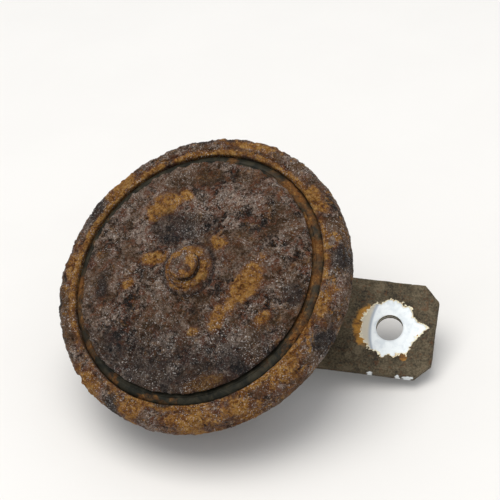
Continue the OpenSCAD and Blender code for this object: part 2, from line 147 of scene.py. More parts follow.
def smooth(x, low, high):
    """0 below low, 1 above high, and an S-shaped climb between them."""
    t = np.clip((x - low) / (high - low), 0, 1)
    return t * t * (3 - 2 * t)


def noise(points, size, seed):
    """Smooth noise from -1 to 1: random values on a lattice, faded into each other."""
    q = points / size
    cell = np.floor(q).astype(np.int64)
    f = q - cell
    f = f * f * f * (f * (f * 6 - 15) + 10)
    total = np.zeros(points.shape[:-1])
    for corner in np.ndindex(2, 2, 2):
        c = np.array(corner)
        weight = np.prod(np.where(c == 1, f, 1 - f), axis=-1)
        total += weight * hashed(cell + c, seed)
    return 2 * total - 1


def layered(points, size, layers, seed):
    """Sum of noises, each turned, half as large and 0.55 times as strong as the last."""
    total = np.zeros(points.shape[:-1])
    strength = 1.0
    whole = 0.0
    for i in range(layers):
        total += strength * noise(points, size, seed + 17 * i)
        whole += strength
        points = points @ TURN
        size /= 2
        strength *= 0.55
    return total / whole


def plates(points, size, seed):
    """Cells round scattered points: each cell's own level from -1 to 1, and how far a
    point lies from its cell's border, as a share of size."""
    q = points / size
    base = np.floor(q).astype(np.int64)
    nearest = np.full(points.shape[:-1], 9.0)
    second = nearest.copy()
    level = np.zeros(points.shape[:-1])
    for step in np.ndindex(3, 3, 3):
        cell = base + np.array(step) - 1
        spot = np.stack([hashed(cell, seed + i) for i in range(3)], axis=-1)
        far = np.linalg.norm(cell + spot - q, axis=-1)
        closer = far < nearest
        second = np.where(closer, nearest, np.minimum(second, far))
        level = np.where(closer, hashed(cell, seed + 3), level)
        nearest = np.minimum(nearest, far)
    return 2 * level - 1, second - nearest


def scale_height(points, seed):
    """Height of rust scale: low swells, plates of crust at levels of their own with
    ragged borders, lumps, and pits."""
    ragged = points + 0.9 * np.stack(
        [layered(points, 2.4, 3, seed + 40 + i) for i in range(3)], axis=-1)
    level, border = plates(ragged, 3.4, seed)
    small_level, small_border = plates(ragged, 1.3, seed + 7)
    crust = 0.32 * level * smooth(border, 0.0, 0.16)
    grit = 0.20 * small_level * smooth(small_border, 0.0, 0.2)
    swell = 0.26 * layered(points, 17, 2, seed + 1)
    lumps = 0.28 * layered(points, 2.6, 3, seed + 2)
    pits = -0.34 * smooth(layered(points, 1.7, 2, seed + 3), 0.3, 0.62)
    return swell + crust + grit + lumps + pits


def patches(points, spots, seed, ragged=0.5, size=5.0):
    """1 inside oval patches, 0 outside, with ragged edges. A spot is its
    middle x and y, half length, half width and turn in degrees."""
    best = np.full(points.shape[:-1], -9.0)
    for x, y, half_l, half_w, turn in spots:
        c, s = np.cos(np.radians(turn)), np.sin(np.radians(turn))
        along = (points[..., 0] - x) * c + (points[..., 1] - y) * s
        across = (points[..., 1] - y) * c - (points[..., 0] - x) * s
        best = np.maximum(best, 1 - np.hypot(along / half_l, across / half_w))
    return smooth(best + ragged * layered(points, size, 5, seed), -0.25, 0.65)


# ---- Profiles and meshes ----

def arc(centre, radii, start, end, count):
    """Points along an ellipse's arc, from start to end degrees."""
    a = np.radians(np.linspace(start, end, count))
    return np.stack([centre[0] + radii[0] * np.cos(a), centre[1] + radii[1] * np.sin(a)], axis=1)


def even(points, count, last=True):
    """Points re-spaced evenly along their polyline; last=False leaves the end out."""
    points = np.asarray(points, float)
    run = np.concatenate([[0], np.cumsum(np.linalg.norm(np.diff(points, axis=0), axis=1))])
    at = np.linspace(0, run[-1], count, endpoint=last)
    return np.stack([np.interp(at, run, points[:, i]) for i in range(points.shape[1])], axis=1)


def closed_profile(*stretches):
    """One closed outline from (points, count) stretches, each ending where the next
    begins, and its outward normals."""
    outline = np.concatenate([even(points, count, last=False) for points, count in stretches])
    along = np.roll(outline, -1, axis=0) - np.roll(outline, 1, axis=0)
    normal = np.stack([along[:, 1], -along[:, 0]], axis=1)
    normal /= np.linalg.norm(normal, axis=1, keepdims=True) + 1e-9
    x, y = outline.T
    turn = np.sum(x * np.roll(y, -1) - np.roll(x, -1) * y)
    return outline, normal * np.sign(turn)


def revolved(outline, normal, count):
    """A profile of (radius, height) points carried round the axis: grids of points and
    of normals, count steps round."""
    a = np.linspace(0, 2 * np.pi, count, endpoint=False)[:, None]

    def carried(flat):
        r, z = flat[None, :, 0], flat[None, :, 1]
        return np.stack([r * np.cos(a), r * np.sin(a), z + 0 * a], axis=-1)

    return carried(outline), carried(normal)


def radius(points):
    """Distance from the axis."""
    return np.hypot(points[..., 0], points[..., 1])


def widened(points, factor):
    """Points moved out from or in to the axis by a factor."""
    return points * np.stack([factor, factor, np.ones_like(factor)], axis=-1)


def beside(line):
    """Unit vectors to the left of a line of points."""
    along = np.gradient(line, axis=0)
    side = np.stack([-along[:, 1], along[:, 0]], axis=1)
    return side / (np.linalg.norm(side, axis=1, keepdims=True) + 1e-9)


def surface(name, points, fields=None, across=True):
    """A mesh object from a grid of points in metres that closes round its first side.
    It closes round its second side too (across), or else ends in a point at each end.
    Faces are turned outwards by the sign of the enclosed volume. fields are numbers
    kept at the points."""
    nu, nv = points.shape[:2]
    rows = np.arange(nu)[:, None] * nv
    next_rows = (np.arange(nu)[:, None] + 1) % nu * nv
    columns = np.arange(nv if across else nv - 1)[None, :]
    next_columns = (columns + 1) % nv
    quads = np.stack([(rows + columns).ravel(), (next_rows + columns).ravel(),
                      (next_rows + next_columns).ravel(), (rows + next_columns).ravel()], axis=1)
    flat = points.reshape(-1, 3)
    tips = np.zeros((0, 3), int)
    if not across:
        first, last = len(flat), len(flat) + 1
        tips = np.concatenate([
            np.stack([next_rows.ravel(), rows.ravel(), np.full(nu, first)], axis=1),
            np.stack([rows.ravel() + nv - 1, next_rows.ravel() + nv - 1, np.full(nu, last)], axis=1)])
        flat = np.concatenate([flat, points[:, :1].mean(axis=0), points[:, -1:].mean(axis=0)])
    centred = flat - flat.mean(axis=0)
    p = centred[quads]
    volume = np.sum(p[:, 0] * np.cross(p[:, 1], p[:, 2])) + np.sum(p[:, 0] * np.cross(p[:, 2], p[:, 3]))
    if volume < 0:
        quads, tips = quads[:, ::-1], tips[:, ::-1]
    mesh = bpy.data.meshes.new(name)
    mesh.vertices.add(len(flat))
    mesh.vertices.foreach_set("co", flat.astype(np.float32).ravel())
    corners = np.concatenate([quads.ravel(), tips.ravel()])
    mesh.loops.add(len(corners))
    mesh.loops.foreach_set("vertex_index", corners.astype(np.int32))
    starts = np.concatenate([np.arange(len(quads)) * 4, len(quads) * 4 + np.arange(len(tips)) * 3])
    mesh.polygons.add(len(starts))
    mesh.polygons.foreach_set("loop_start", starts.astype(np.int32))
    mesh.polygons.foreach_set("use_smooth", np.full(len(starts), True))
    mesh.update(calc_edges=True)
    mesh.validate()
    for key, values in (fields or {}).items():
        values = np.asarray(values, np.float32).ravel()
        values = np.concatenate([values, np.full(len(flat) - len(values), values.mean())])
        mesh.attributes.new(key, "FLOAT", "POINT").data.foreach_set("value", values.astype(np.float32))
    piece = bpy.data.objects.new(name, mesh)
    bpy.context.scene.collection.objects.link(piece)
    return piece


def place(piece, body, slot, finish, *nodes):
    """Gives a piece its finish and its body, and hides the nodes that it stands for. The slot is not
    used.
    """
    piece.data.materials.append(finish)
    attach(piece, body)
    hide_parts(*nodes)
    return piece


# ---- Finishes ----

class Finish:
    """A material's node tree, with short calls for the nodes that the finishes use.
    Sizes are millimetres and places are Object coordinates."""

    def __init__(self, name):
        self.material = bpy.data.materials.new(name)
        self.material.use_nodes = True
        self.tree = self.material.node_tree
        self.tree.nodes.clear()
        output = self.node("OutputMaterial")
        self.shader = self.node("BsdfPrincipled")
        self.link(self.shader.outputs[0], output.inputs[0])
        scale = self.node("VectorMath", operation="SCALE")
        scale.inputs["Scale"].default_value = 1 / MM
        self.link(self.node("TexCoord").outputs["Object"], scale.inputs[0])
        self.place = scale.outputs[0]

    def node(self, kind, **settings):
        made = self.tree.nodes.new("ShaderNode" + kind)
        for key, value in settings.items():
            setattr(made, key, value)
        return made

    def link(self, start, end):
        self.tree.links.new(start, end)

    def feed(self, socket, value):
        """Links a socket to another socket, or sets it to a number or colour."""
        if isinstance(value, bpy.types.NodeSocket):
            self.link(value, socket)
        elif isinstance(value, (tuple, list)) or hasattr(value, "__len__"):
            socket.default_value = (*value[:3], 1.0)
        else:
            socket.default_value = value

    def noise(self, size, detail=4.0, roughness=0.55, warp=0.0):
        made = self.node("TexNoise")
        self.link(self.place, made.inputs["Vector"])
        made.inputs["Scale"].default_value = 1 / size
        made.inputs["Detail"].default_value = detail
        made.inputs["Roughness"].default_value = roughness
        made.inputs["Distortion"].default_value = warp
        return made.outputs["Fac"]

    def field(self, name):
        return self.node("Attribute", attribute_name=name).outputs["Fac"]

    def sum(self, operation, *values):
        made = self.node("Math", operation=operation)
        for socket, value in zip(made.inputs, values):
            self.feed(socket, value)
        return made.outputs[0]

    def mix(self, *parts):
        """Sum of values, each times its weight."""
        terms = [self.sum("MULTIPLY", value, weight) for value, weight in parts]
        total = terms[0]
        for term in terms[1:]:
            total = self.sum("ADD", total, term)
        return total

    def swing(self, value, amount):
        """A noise about its middle, times amount."""
        return self.sum("MULTIPLY", self.sum("SUBTRACT", value, 0.5), amount)

    def band(self, value, low, high, start=0.0, end=1.0):
        """start below low, end above high, with a smooth step between."""
        made = self.node("MapRange", interpolation_type="SMOOTHSTEP")
        for socket, number in zip(made.inputs, (value, low, high, start, end)):
            self.feed(socket, number)
        return made.outputs[0]

    def blend(self, share, under, over):
        made = self.node("Mix", data_type="RGBA")
        for index, value in ((0, share), (6, under), (7, over)):
            self.feed(made.inputs[index], value)
        return made.outputs[2]

    def ramp(self, value, *stops):
        made = self.node("ValToRGB")
        self.feed(made.inputs[0], value)
        elements = made.color_ramp.elements
        while len(elements) < len(stops):
            elements.new(0.5)
        for element, (position, colour) in zip(elements, stops):
            element.position = position
            element.color = (*colour[:3], 1.0)
        return made.outputs[0]

    def bump(self, height, depth, strength=1.0, under=None):
        made = self.node("Bump")
        made.inputs["Strength"].default_value = strength
        made.inputs["Distance"].default_value = depth * MM
        self.link(height, made.inputs["Height"])
        if under:
            self.link(under, made.inputs["Normal"])
        return made.outputs[0]

    def done(self, colour, roughness, normal=None, metallic=0.0, specular=None):
        self.feed(self.shader.inputs["Base Color"], colour)
        self.feed(self.shader.inputs["Roughness"], roughness)
        self.feed(self.shader.inputs["Metallic"], metallic)
        if specular is not None:
            self.shader.inputs["Specular IOR Level"].default_value = specular
        if normal:
            self.link(normal, self.shader.inputs["Normal"])
        return self.material


def scaled_iron(name, colours, ochre_amount=0.5, stray_from=0.57, dark_amount=0.8, earth_amount=0.4):
    """Flaking rust scale: dark grains and grey crust, red-brown specks, ochre dust where
    the ochre field says, blackened where the dark field says (dark scale, and painted shade
    where a piece puts it), painted shade in the hollows of the height field, and small
    glints painted in as bright specks (painted highlights)."""
    f = Finish(name)
    broad = f.noise(9, 6, 0.6, 0.6)
    middle = f.noise(1.7, 6, 0.7, 0.8)
    grain = f.noise(0.5, 4, 0.72)
    # worn is the scale's height field: it nudges the crust's tone and the ochre, and below it also
    # paints shade into the hollows.
    worn = f.field("height")
    mixed = f.mix((broad, 0.22), (middle, 0.40), (grain, 0.38), (worn, 0.07))
    crust = f.ramp(mixed, (0.435, colours.scale_dark_and_hollow_shade), (0.48, colours.scale_brown),
                   (0.52, colours.scale_grey), (0.585, colours.scale_light))
    # Painted shade: the low points of the scale's height are darkened with the deepest scale colour, as
    # shade in the hollows.
    crust = f.blend(f.band(worn, -0.15, -0.5, 0, 0.8), crust, colours.scale_dark_and_hollow_shade)
    crust = f.blend(f.band(f.noise(2.6, 5, 0.7, 1.0), 0.51, 0.60, 0, 0.8), crust, colours.red_rust)
    crust = f.blend(f.band(f.noise(11, 5, 0.6, 1.0), 0.44, 0.58, 0, earth_amount), crust, colours.earth)
    stray = f.band(f.noise(3.6, 7, 0.7, 1.2), stray_from, stray_from + 0.10, 0, ochre_amount)
    torn = f.swing(f.noise(3.0, 9, 0.8, 1.0), 3.4)
    ragged = f.mix((f.field("ochre"), 1), (torn, 1), (worn, 0.3))
    share = f.sum("MAXIMUM", f.band(ragged, 0.4, 0.95), stray)
    share = f.sum("MULTIPLY", share, f.band(middle, 0.34, 0.44, 0.4, 1.0))
    crust = f.blend(f.band(ragged, 0.0, 0.6, 0, 0.55), crust, colours.red_rust)
    ochre = f.ramp(f.mix((middle, 0.75), (grain, 0.25)),
                   (0.43, colours.ochre_deep), (0.50, colours.ochre), (0.60, colours.ochre_light))
    colour = f.blend(share, crust, ochre)
    # The dark field blackens dark scale; where a piece puts shade into it (the ring's lip wall, the
    # disc, the washer by the bolt's head), this is painted shade.
    black = f.band(f.mix((f.field("dark"), 1), (torn, 0.6)), 0.2, 1.2, 0, dark_amount)
    colour = f.blend(black, colour, colours.black_scale_and_shade)
    colour = f.blend(f.band(f.noise(0.7, 4, 0.75), 0.42, 0.34, 0, 0.7), colour, colours.scale_dark_and_hollow_shade)
    # Painted highlight: bright specks painted into the colour stand in for glints of light, and are made
    # a little glossier.
    speckle = f.noise(0.45, 2, 0.5)
    glint = f.sum("MULTIPLY", f.band(speckle, 0.60, 0.66), f.band(broad, 0.42, 0.6, 0.15, 0.75))
    colour = f.blend(glint, colour, colours.glint)
    rough = f.sum("SUBTRACT", f.band(share, 0, 1, 0.52, 0.85), f.sum("MULTIPLY", glint, 0.3))
    low = f.bump(middle, 1.9, 1.0)
    fine = f.bump(grain, 0.8, 1.0, low)
    return f.done(colour, rough, fine, specular=0.18)


def plain_steel(name, colour, rust, roughness=0.5, rusted=0.5, metallic=0.7):
    """Bare steel gone dull: fine scratches, brown bloom in soft patches, pinhole rust."""
    f = Finish(name)
    bloom = f.noise(5, 6, 0.62, 0.6)
    spots = f.noise(0.7, 4, 0.65)
    share = f.band(f.sum("ADD", bloom, f.swing(spots, 0.5)),
                   0.62 - 0.3 * rusted, 0.74 - 0.2 * rusted)
    tone = f.blend(f.band(spots, 0.35, 0.6, 0, 0.45), colour, tuple(0.45 * c for c in colour[:3]))
    brown = f.ramp(spots, (0.3, tuple(0.45 * c for c in rust[:3])), (0.65, rust))
    normal = f.bump(spots, 0.12, 0.5, f.bump(bloom, 0.3, 0.3))
    return f.done(f.blend(share, tone, brown), f.band(share, 0, 1, roughness, 0.88), normal,
                  f.band(share, 0, 1, metallic, 0.05))


def moulding(name, colour, light, roughness=0.45):
    """Moulded or pressed insulating stuff: mottled, slightly orange-peeled and dusty."""
    f = Finish(name)
    mottle = f.noise(1.6, 6, 0.6, 0.8)
    grain = f.noise(0.3, 3, 0.6)
    tone = f.blend(f.band(mottle, 0.42, 0.68), colour, light)
    dusty = f.blend(f.band(grain, 0.58, 0.72, 0, 0.5), tone, tuple(1.7 * c for c in light[:3]))
    return f.done(dusty, f.band(mottle, 0.3, 0.7, roughness, roughness + 0.3), f.bump(grain, 0.06, 0.5))


def tarnished_brass(name, colour, stain):
    """Brass gone brown in the corners, with a green bloom in spots."""
    f = Finish(name)
    cloud = f.noise(2.4, 6, 0.62, 0.7)
    speck = f.noise(0.5, 4, 0.6)
    tone = f.blend(f.band(cloud, 0.4, 0.62), colour, stain)
    green = f.blend(f.band(speck, 0.66, 0.74, 0, 0.7), tone, (0.10, 0.16, 0.10))
    return f.done(green, f.band(cloud, 0.35, 0.65, 0.35, 0.7), f.bump(speck, 0.08, 0.5),
                  f.band(cloud, 0.4, 0.65, 0.9, 0.4))


def wound_copper(name, colour, dark):
    """Enamelled wire laid turn on turn up the coil, each turn a small ridge."""
    f = Finish(name)
    turns = f.node("TexWave", wave_type="BANDS", bands_direction="Z", wave_profile="SIN")
    f.link(f.place, turns.inputs["Vector"])
    turns.inputs["Scale"].default_value = 0.7
    turns.inputs["Distortion"].default_value = 0.6
    cloud = f.noise(3, 5, 0.6)
    # Painted shade: the valleys between the turns are darkened.
    tone = f.blend(f.band(turns.outputs["Fac"], 0.1, 0.6), dark, colour)
    tone = f.blend(f.band(cloud, 0.5, 0.7, 0, 0.5), tone, dark)
    return f.done(tone, f.band(cloud, 0.3, 0.7, 0.3, 0.55), f.bump(turns.outputs["Fac"], 0.2, 0.9),
                  0.35)


def old_spring(name, slope, dirt, colours):
    """The membrane: dark greenish steel, greasy dirt, and ochre dust where the ochre field
    says."""
    f = Finish(name)
    cloud = f.noise(3.4, 6, 0.62, 0.8)
    grain = f.noise(0.5, 4, 0.65)
    tone = f.blend(f.band(cloud, 0.38, 0.66), slope, dirt)
    ragged = f.sum("ADD", f.field("ochre"), f.swing(f.noise(1.2, 5, 0.6), 1.1))
    dust = f.ramp(f.noise(0.9, 5, 0.7, 0.5), (0.36, colours.scale_dark_and_hollow_shade), (0.46, colours.ochre_deep),
                  (0.55, colours.earth), (0.66, colours.ochre))
    share = f.band(ragged, 0.1, 0.95, 0, 0.9)
    tone = f.blend(share, tone, dust)
    tone = f.blend(f.band(grain, 0.42, 0.3, 0, 0.6), tone, colours.scale_dark_and_hollow_shade)
    normal = f.bump(grain, 0.12, 0.6, f.bump(cloud, 0.3, 0.3))
    return f.done(tone, f.band(share, 0, 1, 0.55, 0.9), normal, specular=0.12)


def painted_strip(name, colours):
    """Old olive-brown paint, mottled and dull. The bare field lays the plating open, with
    a cream torn edge; the rust field stains the paint; the chips field shows white."""
    f = Finish(name)
    cloud = f.noise(5, 6, 0.62, 0.5)
    grain = f.noise(0.6, 4, 0.65, 0.3)
    paint = f.ramp(f.mix((cloud, 0.5), (grain, 0.5)),
                   (0.40, colours.paint_dark), (0.50, colours.paint), (0.60, colours.paint_light))
    paint = f.blend(f.band(f.noise(1.4, 5, 0.6, 0.9), 0.54, 0.66, 0, 0.6), paint, colours.paint_rust)
    stain = f.band(f.sum("ADD", f.field("rust"), f.swing(grain, 0.9)),
                   0.4, 0.8, 0, 0.95)
    amber = f.ramp(cloud, (0.40, colours.paint_rust), (0.52, colours.amber))
    paint = f.blend(stain, paint, amber)
    plating = f.ramp(f.noise(2.8, 4, 0.55, 0.4), (0.36, colours.plating_grey), (0.56, colours.plating))
    edge = f.ramp(grain, (0.38, colours.amber), (0.47, colours.cream))
    bare = f.field("bare")
    tone = f.blend(f.band(bare, 0.34, 0.42), paint, edge)
    tone = f.blend(f.band(f.sum("ADD", bare, f.swing(cloud, 0.8)), 0.66, 0.86), tone, plating)
    shade = f.field("shade")
    old_mark = f.ramp(shade, (0.05, colours.plating), (0.2, colours.mark_edge), (0.5, colours.beige))
    marked = f.sum("MULTIPLY", f.band(shade, 0.0, 0.08, 0, 0.9), f.band(bare, 0.5, 0.8))
    tone = f.blend(marked, tone, old_mark)
    tone = f.blend(f.field("chips"), tone, colours.plating)
    opened = f.band(bare, 0.45, 0.6)
    normal = f.bump(grain, 0.10, 0.55, f.bump(cloud, 0.25, 0.25))
    return f.done(tone, f.band(opened, 0, 1, 0.72, 0.42), normal, f.band(opened, 0, 1, 0, 0.15),
                  specular=0.25)


# ---- Settings ----

def colour(name, description, value):
    return FloatVectorProperty(name=name, description=description, subtype="COLOR", size=3,
                               min=0, max=1, default=value)


def length(name, description, value, low, high):
    return FloatProperty(name=name, description=description + ", in millimetres", default=value,
                         min=low, max=high)


class RustSettings(bpy.types.PropertyGroup):
    """Colours of the rust scale and how deep it is"""
    # The deepest scale colour also serves as painted shade in the scale's hollows.
    scale_dark_and_hollow_shade: colour("Dark scale", "Deepest grains of the scale", (0.009, 0.006, 0.004))
    scale_brown: colour("Brown scale", "Main colour of the scale", (0.062, 0.037, 0.022))
    scale_grey: colour("Grey scale", "Raised crust", (0.240, 0.174, 0.134))
    scale_light: colour("Light scale", "Worn tops of the crust", (0.44, 0.34, 0.265))
    red_rust: colour("Red rust", "Red-brown specks", (0.16, 0.050, 0.020))
    earth: colour("Earth", "Earth-brown clouds", (0.125, 0.062, 0.022))
    ochre_deep: colour("Deep ochre", "Orange depth of the ochre rust", (0.17, 0.060, 0.012))
    ochre: colour("Ochre", "Main colour of the ochre rust", (0.37, 0.165, 0.034))
    ochre_light: colour("Light ochre", "Dusty tops of the ochre rust", (0.54, 0.30, 0.085))
    # The black colour also serves as painted shade where a piece's dark field carries shade.
    black_scale_and_shade: colour("Black scale", "Blue-black stained scale", (0.017, 0.016, 0.017))
    # The glint colour paints highlights into the scale's colour.
    glint: colour("Glint", "Small bright grains", (0.75, 0.70, 0.65))
    depth: FloatProperty(name="Depth", description="Share of the scale's full height",
                         default=1.0, min=0, max=1.5)


class FaceSettings(bpy.types.PropertyGroup):
    """Sizes of the ring, disc, membrane, washer and bolt"""
    lip_r: length("Lip radius", "Inner edge of the ring", 41.1, 40, 42)
    disc_t: length("Disc thickness", "Thickness of the tone disc", 1.5, 1, 2)
    bead_r: length("Bead radius", "Crest of the membrane's outer bead", 38.7, 38, 40)
    bead_z: length("Bead height", "Crest of the outer bead above the rim's middle", 4.45, 3, 4.6)
    washer_wear: length("Washer wear", "How far the washer's edge is eaten away", 0.7, 0, 1)
    bolt_af: length("Bolt size", "Across the flats of the bolt's head", 8.6, 7, 10)
    slope: colour("Membrane", "Dark greenish steel of the membrane", (0.013, 0.013, 0.009))
    dirt: colour("Membrane dirt", "Greasy dirt on the membrane", (0.040, 0.034, 0.021))


class StripSettings(bpy.types.PropertyGroup):
    """Sizes and colours of the bracket"""
    bend_run: length("Bend", "Distance from the hole to the bend", 30.6, 25, 40)
    stud_run: length("Stud", "Distance from the bend to the stud", 20, 17, 24)
    end_run: length("End", "Distance from the hole to the end", 14.4, 10, 20)
    hole_r: length("Hole radius", "Radius of the hole", 4.25, 3, 5)
    width: length("Width", "Width of the strip", 31, 24, 36)
    leaf_t: length("Leaf", "Thickness of a leaf", 1.5, 1, 2)
    corner: length("Corner", "Size of the cut corners", 5, 2, 8)
    bend: FloatProperty(name="Bend angle", description="How far the outer part is bent back",
                        default=np.radians(14), subtype="ANGLE", unit="ROTATION")
    paint: colour("Paint", "Olive-brown paint", (0.082, 0.063, 0.035))
    paint_dark: colour("Dark paint", "Darkest mottle of the paint", (0.024, 0.018, 0.011))
    paint_light: colour("Light paint", "Lightest mottle of the paint", (0.145, 0.112, 0.068))
    paint_rust: colour("Rusty paint", "Brown rust stain in the paint", (0.105, 0.042, 0.014))
    amber: colour("Amber rust", "Amber rust beside the bare plating", (0.46, 0.215, 0.034))
    cream: colour("Cream", "Torn edge of the paint", (0.78, 0.72, 0.52))
    plating: colour("Plating", "Bare white plating", (0.78, 0.81, 0.81))
    plating_grey: colour("Grey plating", "Greyer clouds of the plating", (0.64, 0.68, 0.70))
    mark_edge: colour("Mark edge", "Blue-grey inner edge of the old washer mark", (0.30, 0.34, 0.40))
    beige: colour("Beige", "Old washer mark on the plating", (0.50, 0.44, 0.33))


class StageSettings(bpy.types.PropertyGroup):
    """The floor, the lights and the camera"""
    floor: colour("Floor", "Pale floor", (0.845, 0.815, 0.775))
    sky: colour("Sky", "Soft light from all round", (0.90, 0.945, 1.0))
    sky_strength: FloatProperty(name="Sky strength", description="Strength of the all-round light",
                                default=0.68, min=0)
    key_power: FloatProperty(name="Key power", description="Power of the main soft light in watts",
                             default=9.7, min=0, subtype="POWER", unit="POWER")


# ---- Pieces ----

class HornPiece:
    """What the operators share."""
    bl_options = {"REGISTER", "UNDO"}


class HORN_OT_front_ring(HornPiece, bpy.types.Operator):
    """Rusted ring: its rolled profile carried round the axis and roughened by scale"""
    bl_idname = "horn.front_ring"
    bl_label = "Front ring"

    def execute(self, context):
        rust, face = context.scene.horn_rust, context.scene.horn_face
        outline, normal = ring_profile(face.lip_r)
        base, out = revolved(outline, normal, 900)
        r = radius(base)
        z = base[..., 2]
        seen = smooth(z, -3.9, -1.5) * smooth(r, face.lip_r - 0.2, face.lip_r + 1.2)
        height = scale_height(base, 11)
        chipped = -0.55 * smooth(layered(base, 7, 3, 12), 0.22, 0.5)
        chipped = chipped * smooth(r, RIM_R - 2.4, RIM_R - 0.4)
        rise = rust.depth * (0.25 + 0.75 * seen) * height + chipped
        points = base + out * rise[..., None]
        inner = smooth(r, face.lip_r + 2.9, face.lip_r + 1.2)
        ochre = np.maximum(inner * smooth(layered(base, 9, 3, 14), -0.7, 0.1),
                           patches(base, RING_OCHRE, 15))
        # Painted shade: besides the listed dark patches, the lip's inner wall is darkened, as shade in
        # the groove between the ring and the disc.
        dark = np.maximum(patches(base, RING_DARK, 16),
                          smooth(r, face.lip_r + 0.35, face.lip_r - 0.1) * 0.7)
        piece = surface("front_ring_scaled", on_horn(points), {
            "ochre": ochre, "dark": dark, "height": height})
        place(piece, "horn", "ring_steel", scaled_iron(
            "ring_scale", rust, ochre_amount=0.95, stray_from=0.53, dark_amount=0.9,
            earth_amount=0.65), "front_ring")
        return {"FINISHED"}


RING_OCHRE = [(-33, 31, 8, 4, 48), (-29, -36, 8, 4.5, -52), (-13, -43, 5, 4.5, -15), (6, -45, 11, 4, 5),
              (22, -40, 7, 3, 30), (33, -28, 9, 5, 50), (-44, 2, 8, 2.5, 90), (10, 44, 12, 2, -12),
              (34, 27, 9, 2.5, -50), (43, -8, 6, 2, 80)]
RING_DARK = [(-40, 22, 7, 5, 60), (46, 8, 7, 3, 90), (-47, -12, 9, 2.5, 100), (-8, 47, 9, 2.5, 5),
             (44, -18, 6, 3, 60), (-22, 43, 8, 3, 25), (-20, -42, 3, 4, 0), (-2, -41, 4, 1.6, 0)]


def ring_profile(lip_r):
    """The ring's section: crimp, side, squarish crown, rolled lip, and back inside."""
    crown_x = lip_r + 1.0
    crown = squarish(crown_x, RIM_R, 0.2, CROWN_Z - 0.1, 2.9)
    crown[:, 1] -= 0.45 * np.exp(-((crown[:, 0] - lip_r - 2.0) / 0.45) ** 2)
    return closed_profile(
        ([[43.2, -3.8], [RIM_R - 1.2, -3.8]], 8),
        (arc((RIM_R - 1.2, -2.6), (1.2, 1.2), -90, 0, 8), 6),
        ([[RIM_R, -2.6], [RIM_R, 0.2]], 9), (crown, 36),
        (arc((crown_x, CROWN_Z - 1.0), (1.0, 0.9), 90, 180, 12), 7),
        ([[lip_r, CROWN_Z - 1.0], [lip_r, -0.1]], 12),
        ([[lip_r, -0.1], [44, -0.1], [44, 0.8], [42.4, 0.8], [42.4, 3.4]], 8),
        (arc((crown_x, 0.6), (RIM_R - 1.2 - crown_x, CROWN_Z - 1.9), 88, 0, 12), 7),
        ([[RIM_R - 1.2, 0.6], [RIM_R - 1.2, -2.6], [43.2, -2.6], [43.2, -3.8]], 8))


def squarish(x0, x1, z0, z1, power):
    """Quarter of a superellipse, from (x1, z0) up and in to (x0, z1)."""
    a = np.radians(np.linspace(0, 90, 60))
    return np.stack([x0 + (x1 - x0) * np.cos(a) ** (2 / power),
                     z0 + (z1 - z0) * np.sin(a) ** (2 / power)], axis=1)


class HORN_OT_tone_disc(HornPiece, bpy.types.Operator):
    """Domed tone disc: a parabola carried round the axis and roughened by scale"""
    bl_idname = "horn.tone_disc"
    bl_label = "Tone disc"

    def execute(self, context):
        rust, face = context.scene.horn_rust, context.scene.horn_face
        rise = DISC_HIGH[2] - DISC_LOW[2] - face.disc_t

        def dome(r):
            return np.stack([r, DISC_TOP - rise * (r / DISC_R) ** 2], axis=1)

        edge_z = DISC_TOP - rise - 0.75
        under = dome(np.linspace(DISC_R - 0.75, 2.7, 30)) - np.array([0, face.disc_t])
        outline, normal = closed_profile(
            (dome(np.linspace(2.7, DISC_R - 0.75, 60)), 106),
            (arc((DISC_R - 0.75, edge_z), (0.75, 0.75), 88, -88, 12), 8),
            (under, 12), (np.array([under[-1], dome(np.array([2.7]))[0]]), 3))
        base, out = revolved(outline, normal, 740)
        r = radius(base)
        top = np.broadcast_to(smooth(normal[:, 1], -0.3, 0.3), r.shape)
        height = scale_height(base, 31)
        grown = 0.22 * patches(base, DISC_OCHRE, 33) - 0.25 * patches(base, DISC_PITS, 35, 0.9, 2.5)
        dent = -1.9 * smooth(np.hypot((base[..., 0] + 5) / 12, (base[..., 1] - 14) / 8), 1, 0)
        dent = dent * smooth(r, 6, 9) * top + 0.25 * layered(base, 22, 2, 36) * top
        collar = np.exp(-((r - 6.9) / 0.7) ** 2) * smooth(layered(base, 4, 3, 37), -0.7, 0.2)
        dent += (0.75 * collar - 0.6 * np.exp(-((r - 8.6) / 0.8) ** 2)) * top
        points = base + out * (rust.depth * (0.08 + 1.25 * top) * (height + grown) + dent)[..., None]
        # Painted shade: the disc darkens towards its lower side, and in a narrow ring round the washer.
        shaded = 0.9 * smooth(-base[..., 1], 5, 30) + 0.9 * np.exp(-((r - 8.5) / 0.7) ** 2)
        piece = surface("tone_disc_scaled", on_horn(points), {
            "ochre": np.maximum(patches(base, DISC_OCHRE, 32), 0.9 * collar),
            "height": height + grown,
            "dark": np.maximum(patches(base, DISC_DARK, 34), shaded)})
        place(piece, "membrane_stack", "disc_steel", scaled_iron(
            "disc_scale", rust, ochre_amount=0.45, dark_amount=0.75, earth_amount=0.45), "tone_disc")
        return {"FINISHED"}


# Places on the disc about the horn's axis
DISC_OCHRE = [(-12.5, 22, 8, 4.2, 20), (-15.5, 18.5, 3, 3, 0), (8.5, 8.5, 3, 3.4, 80),
              (19, -5, 12, 4.6, 58), (12, -15, 3.4, 5, 0), (12, -34, 9, 2.6, 20),
              (-12.5, 3.4, 6.5, 2.4, 10), (-6, 25, 4, 2.4, -30), (26, -14, 4, 2.4, 40),
              (5, -20, 3, 2, 10), (-20, -5, 3, 2, 30)]
# Dark patches on the disc: partly painted shade, in the dent above the bolt and over the lower half, and
# partly dark scale.
DISC_DARK = [(-5, 14, 13, 7, 0), (-5, 13, 8, 5, 0), (34, -6, 5, 4, 70), (-30, -6, 3, 6, 10),
             (-5, -30, 12, 5, 0), (-20, -26, 9, 5, -40), (18, -27, 9, 5, 40)]
DISC_PITS = [(-20, -20, 9, 7, 0), (20, 16, 8, 6, 20), (-4, 30, 9, 4, 0), (-28, 8, 6, 6, 0)]


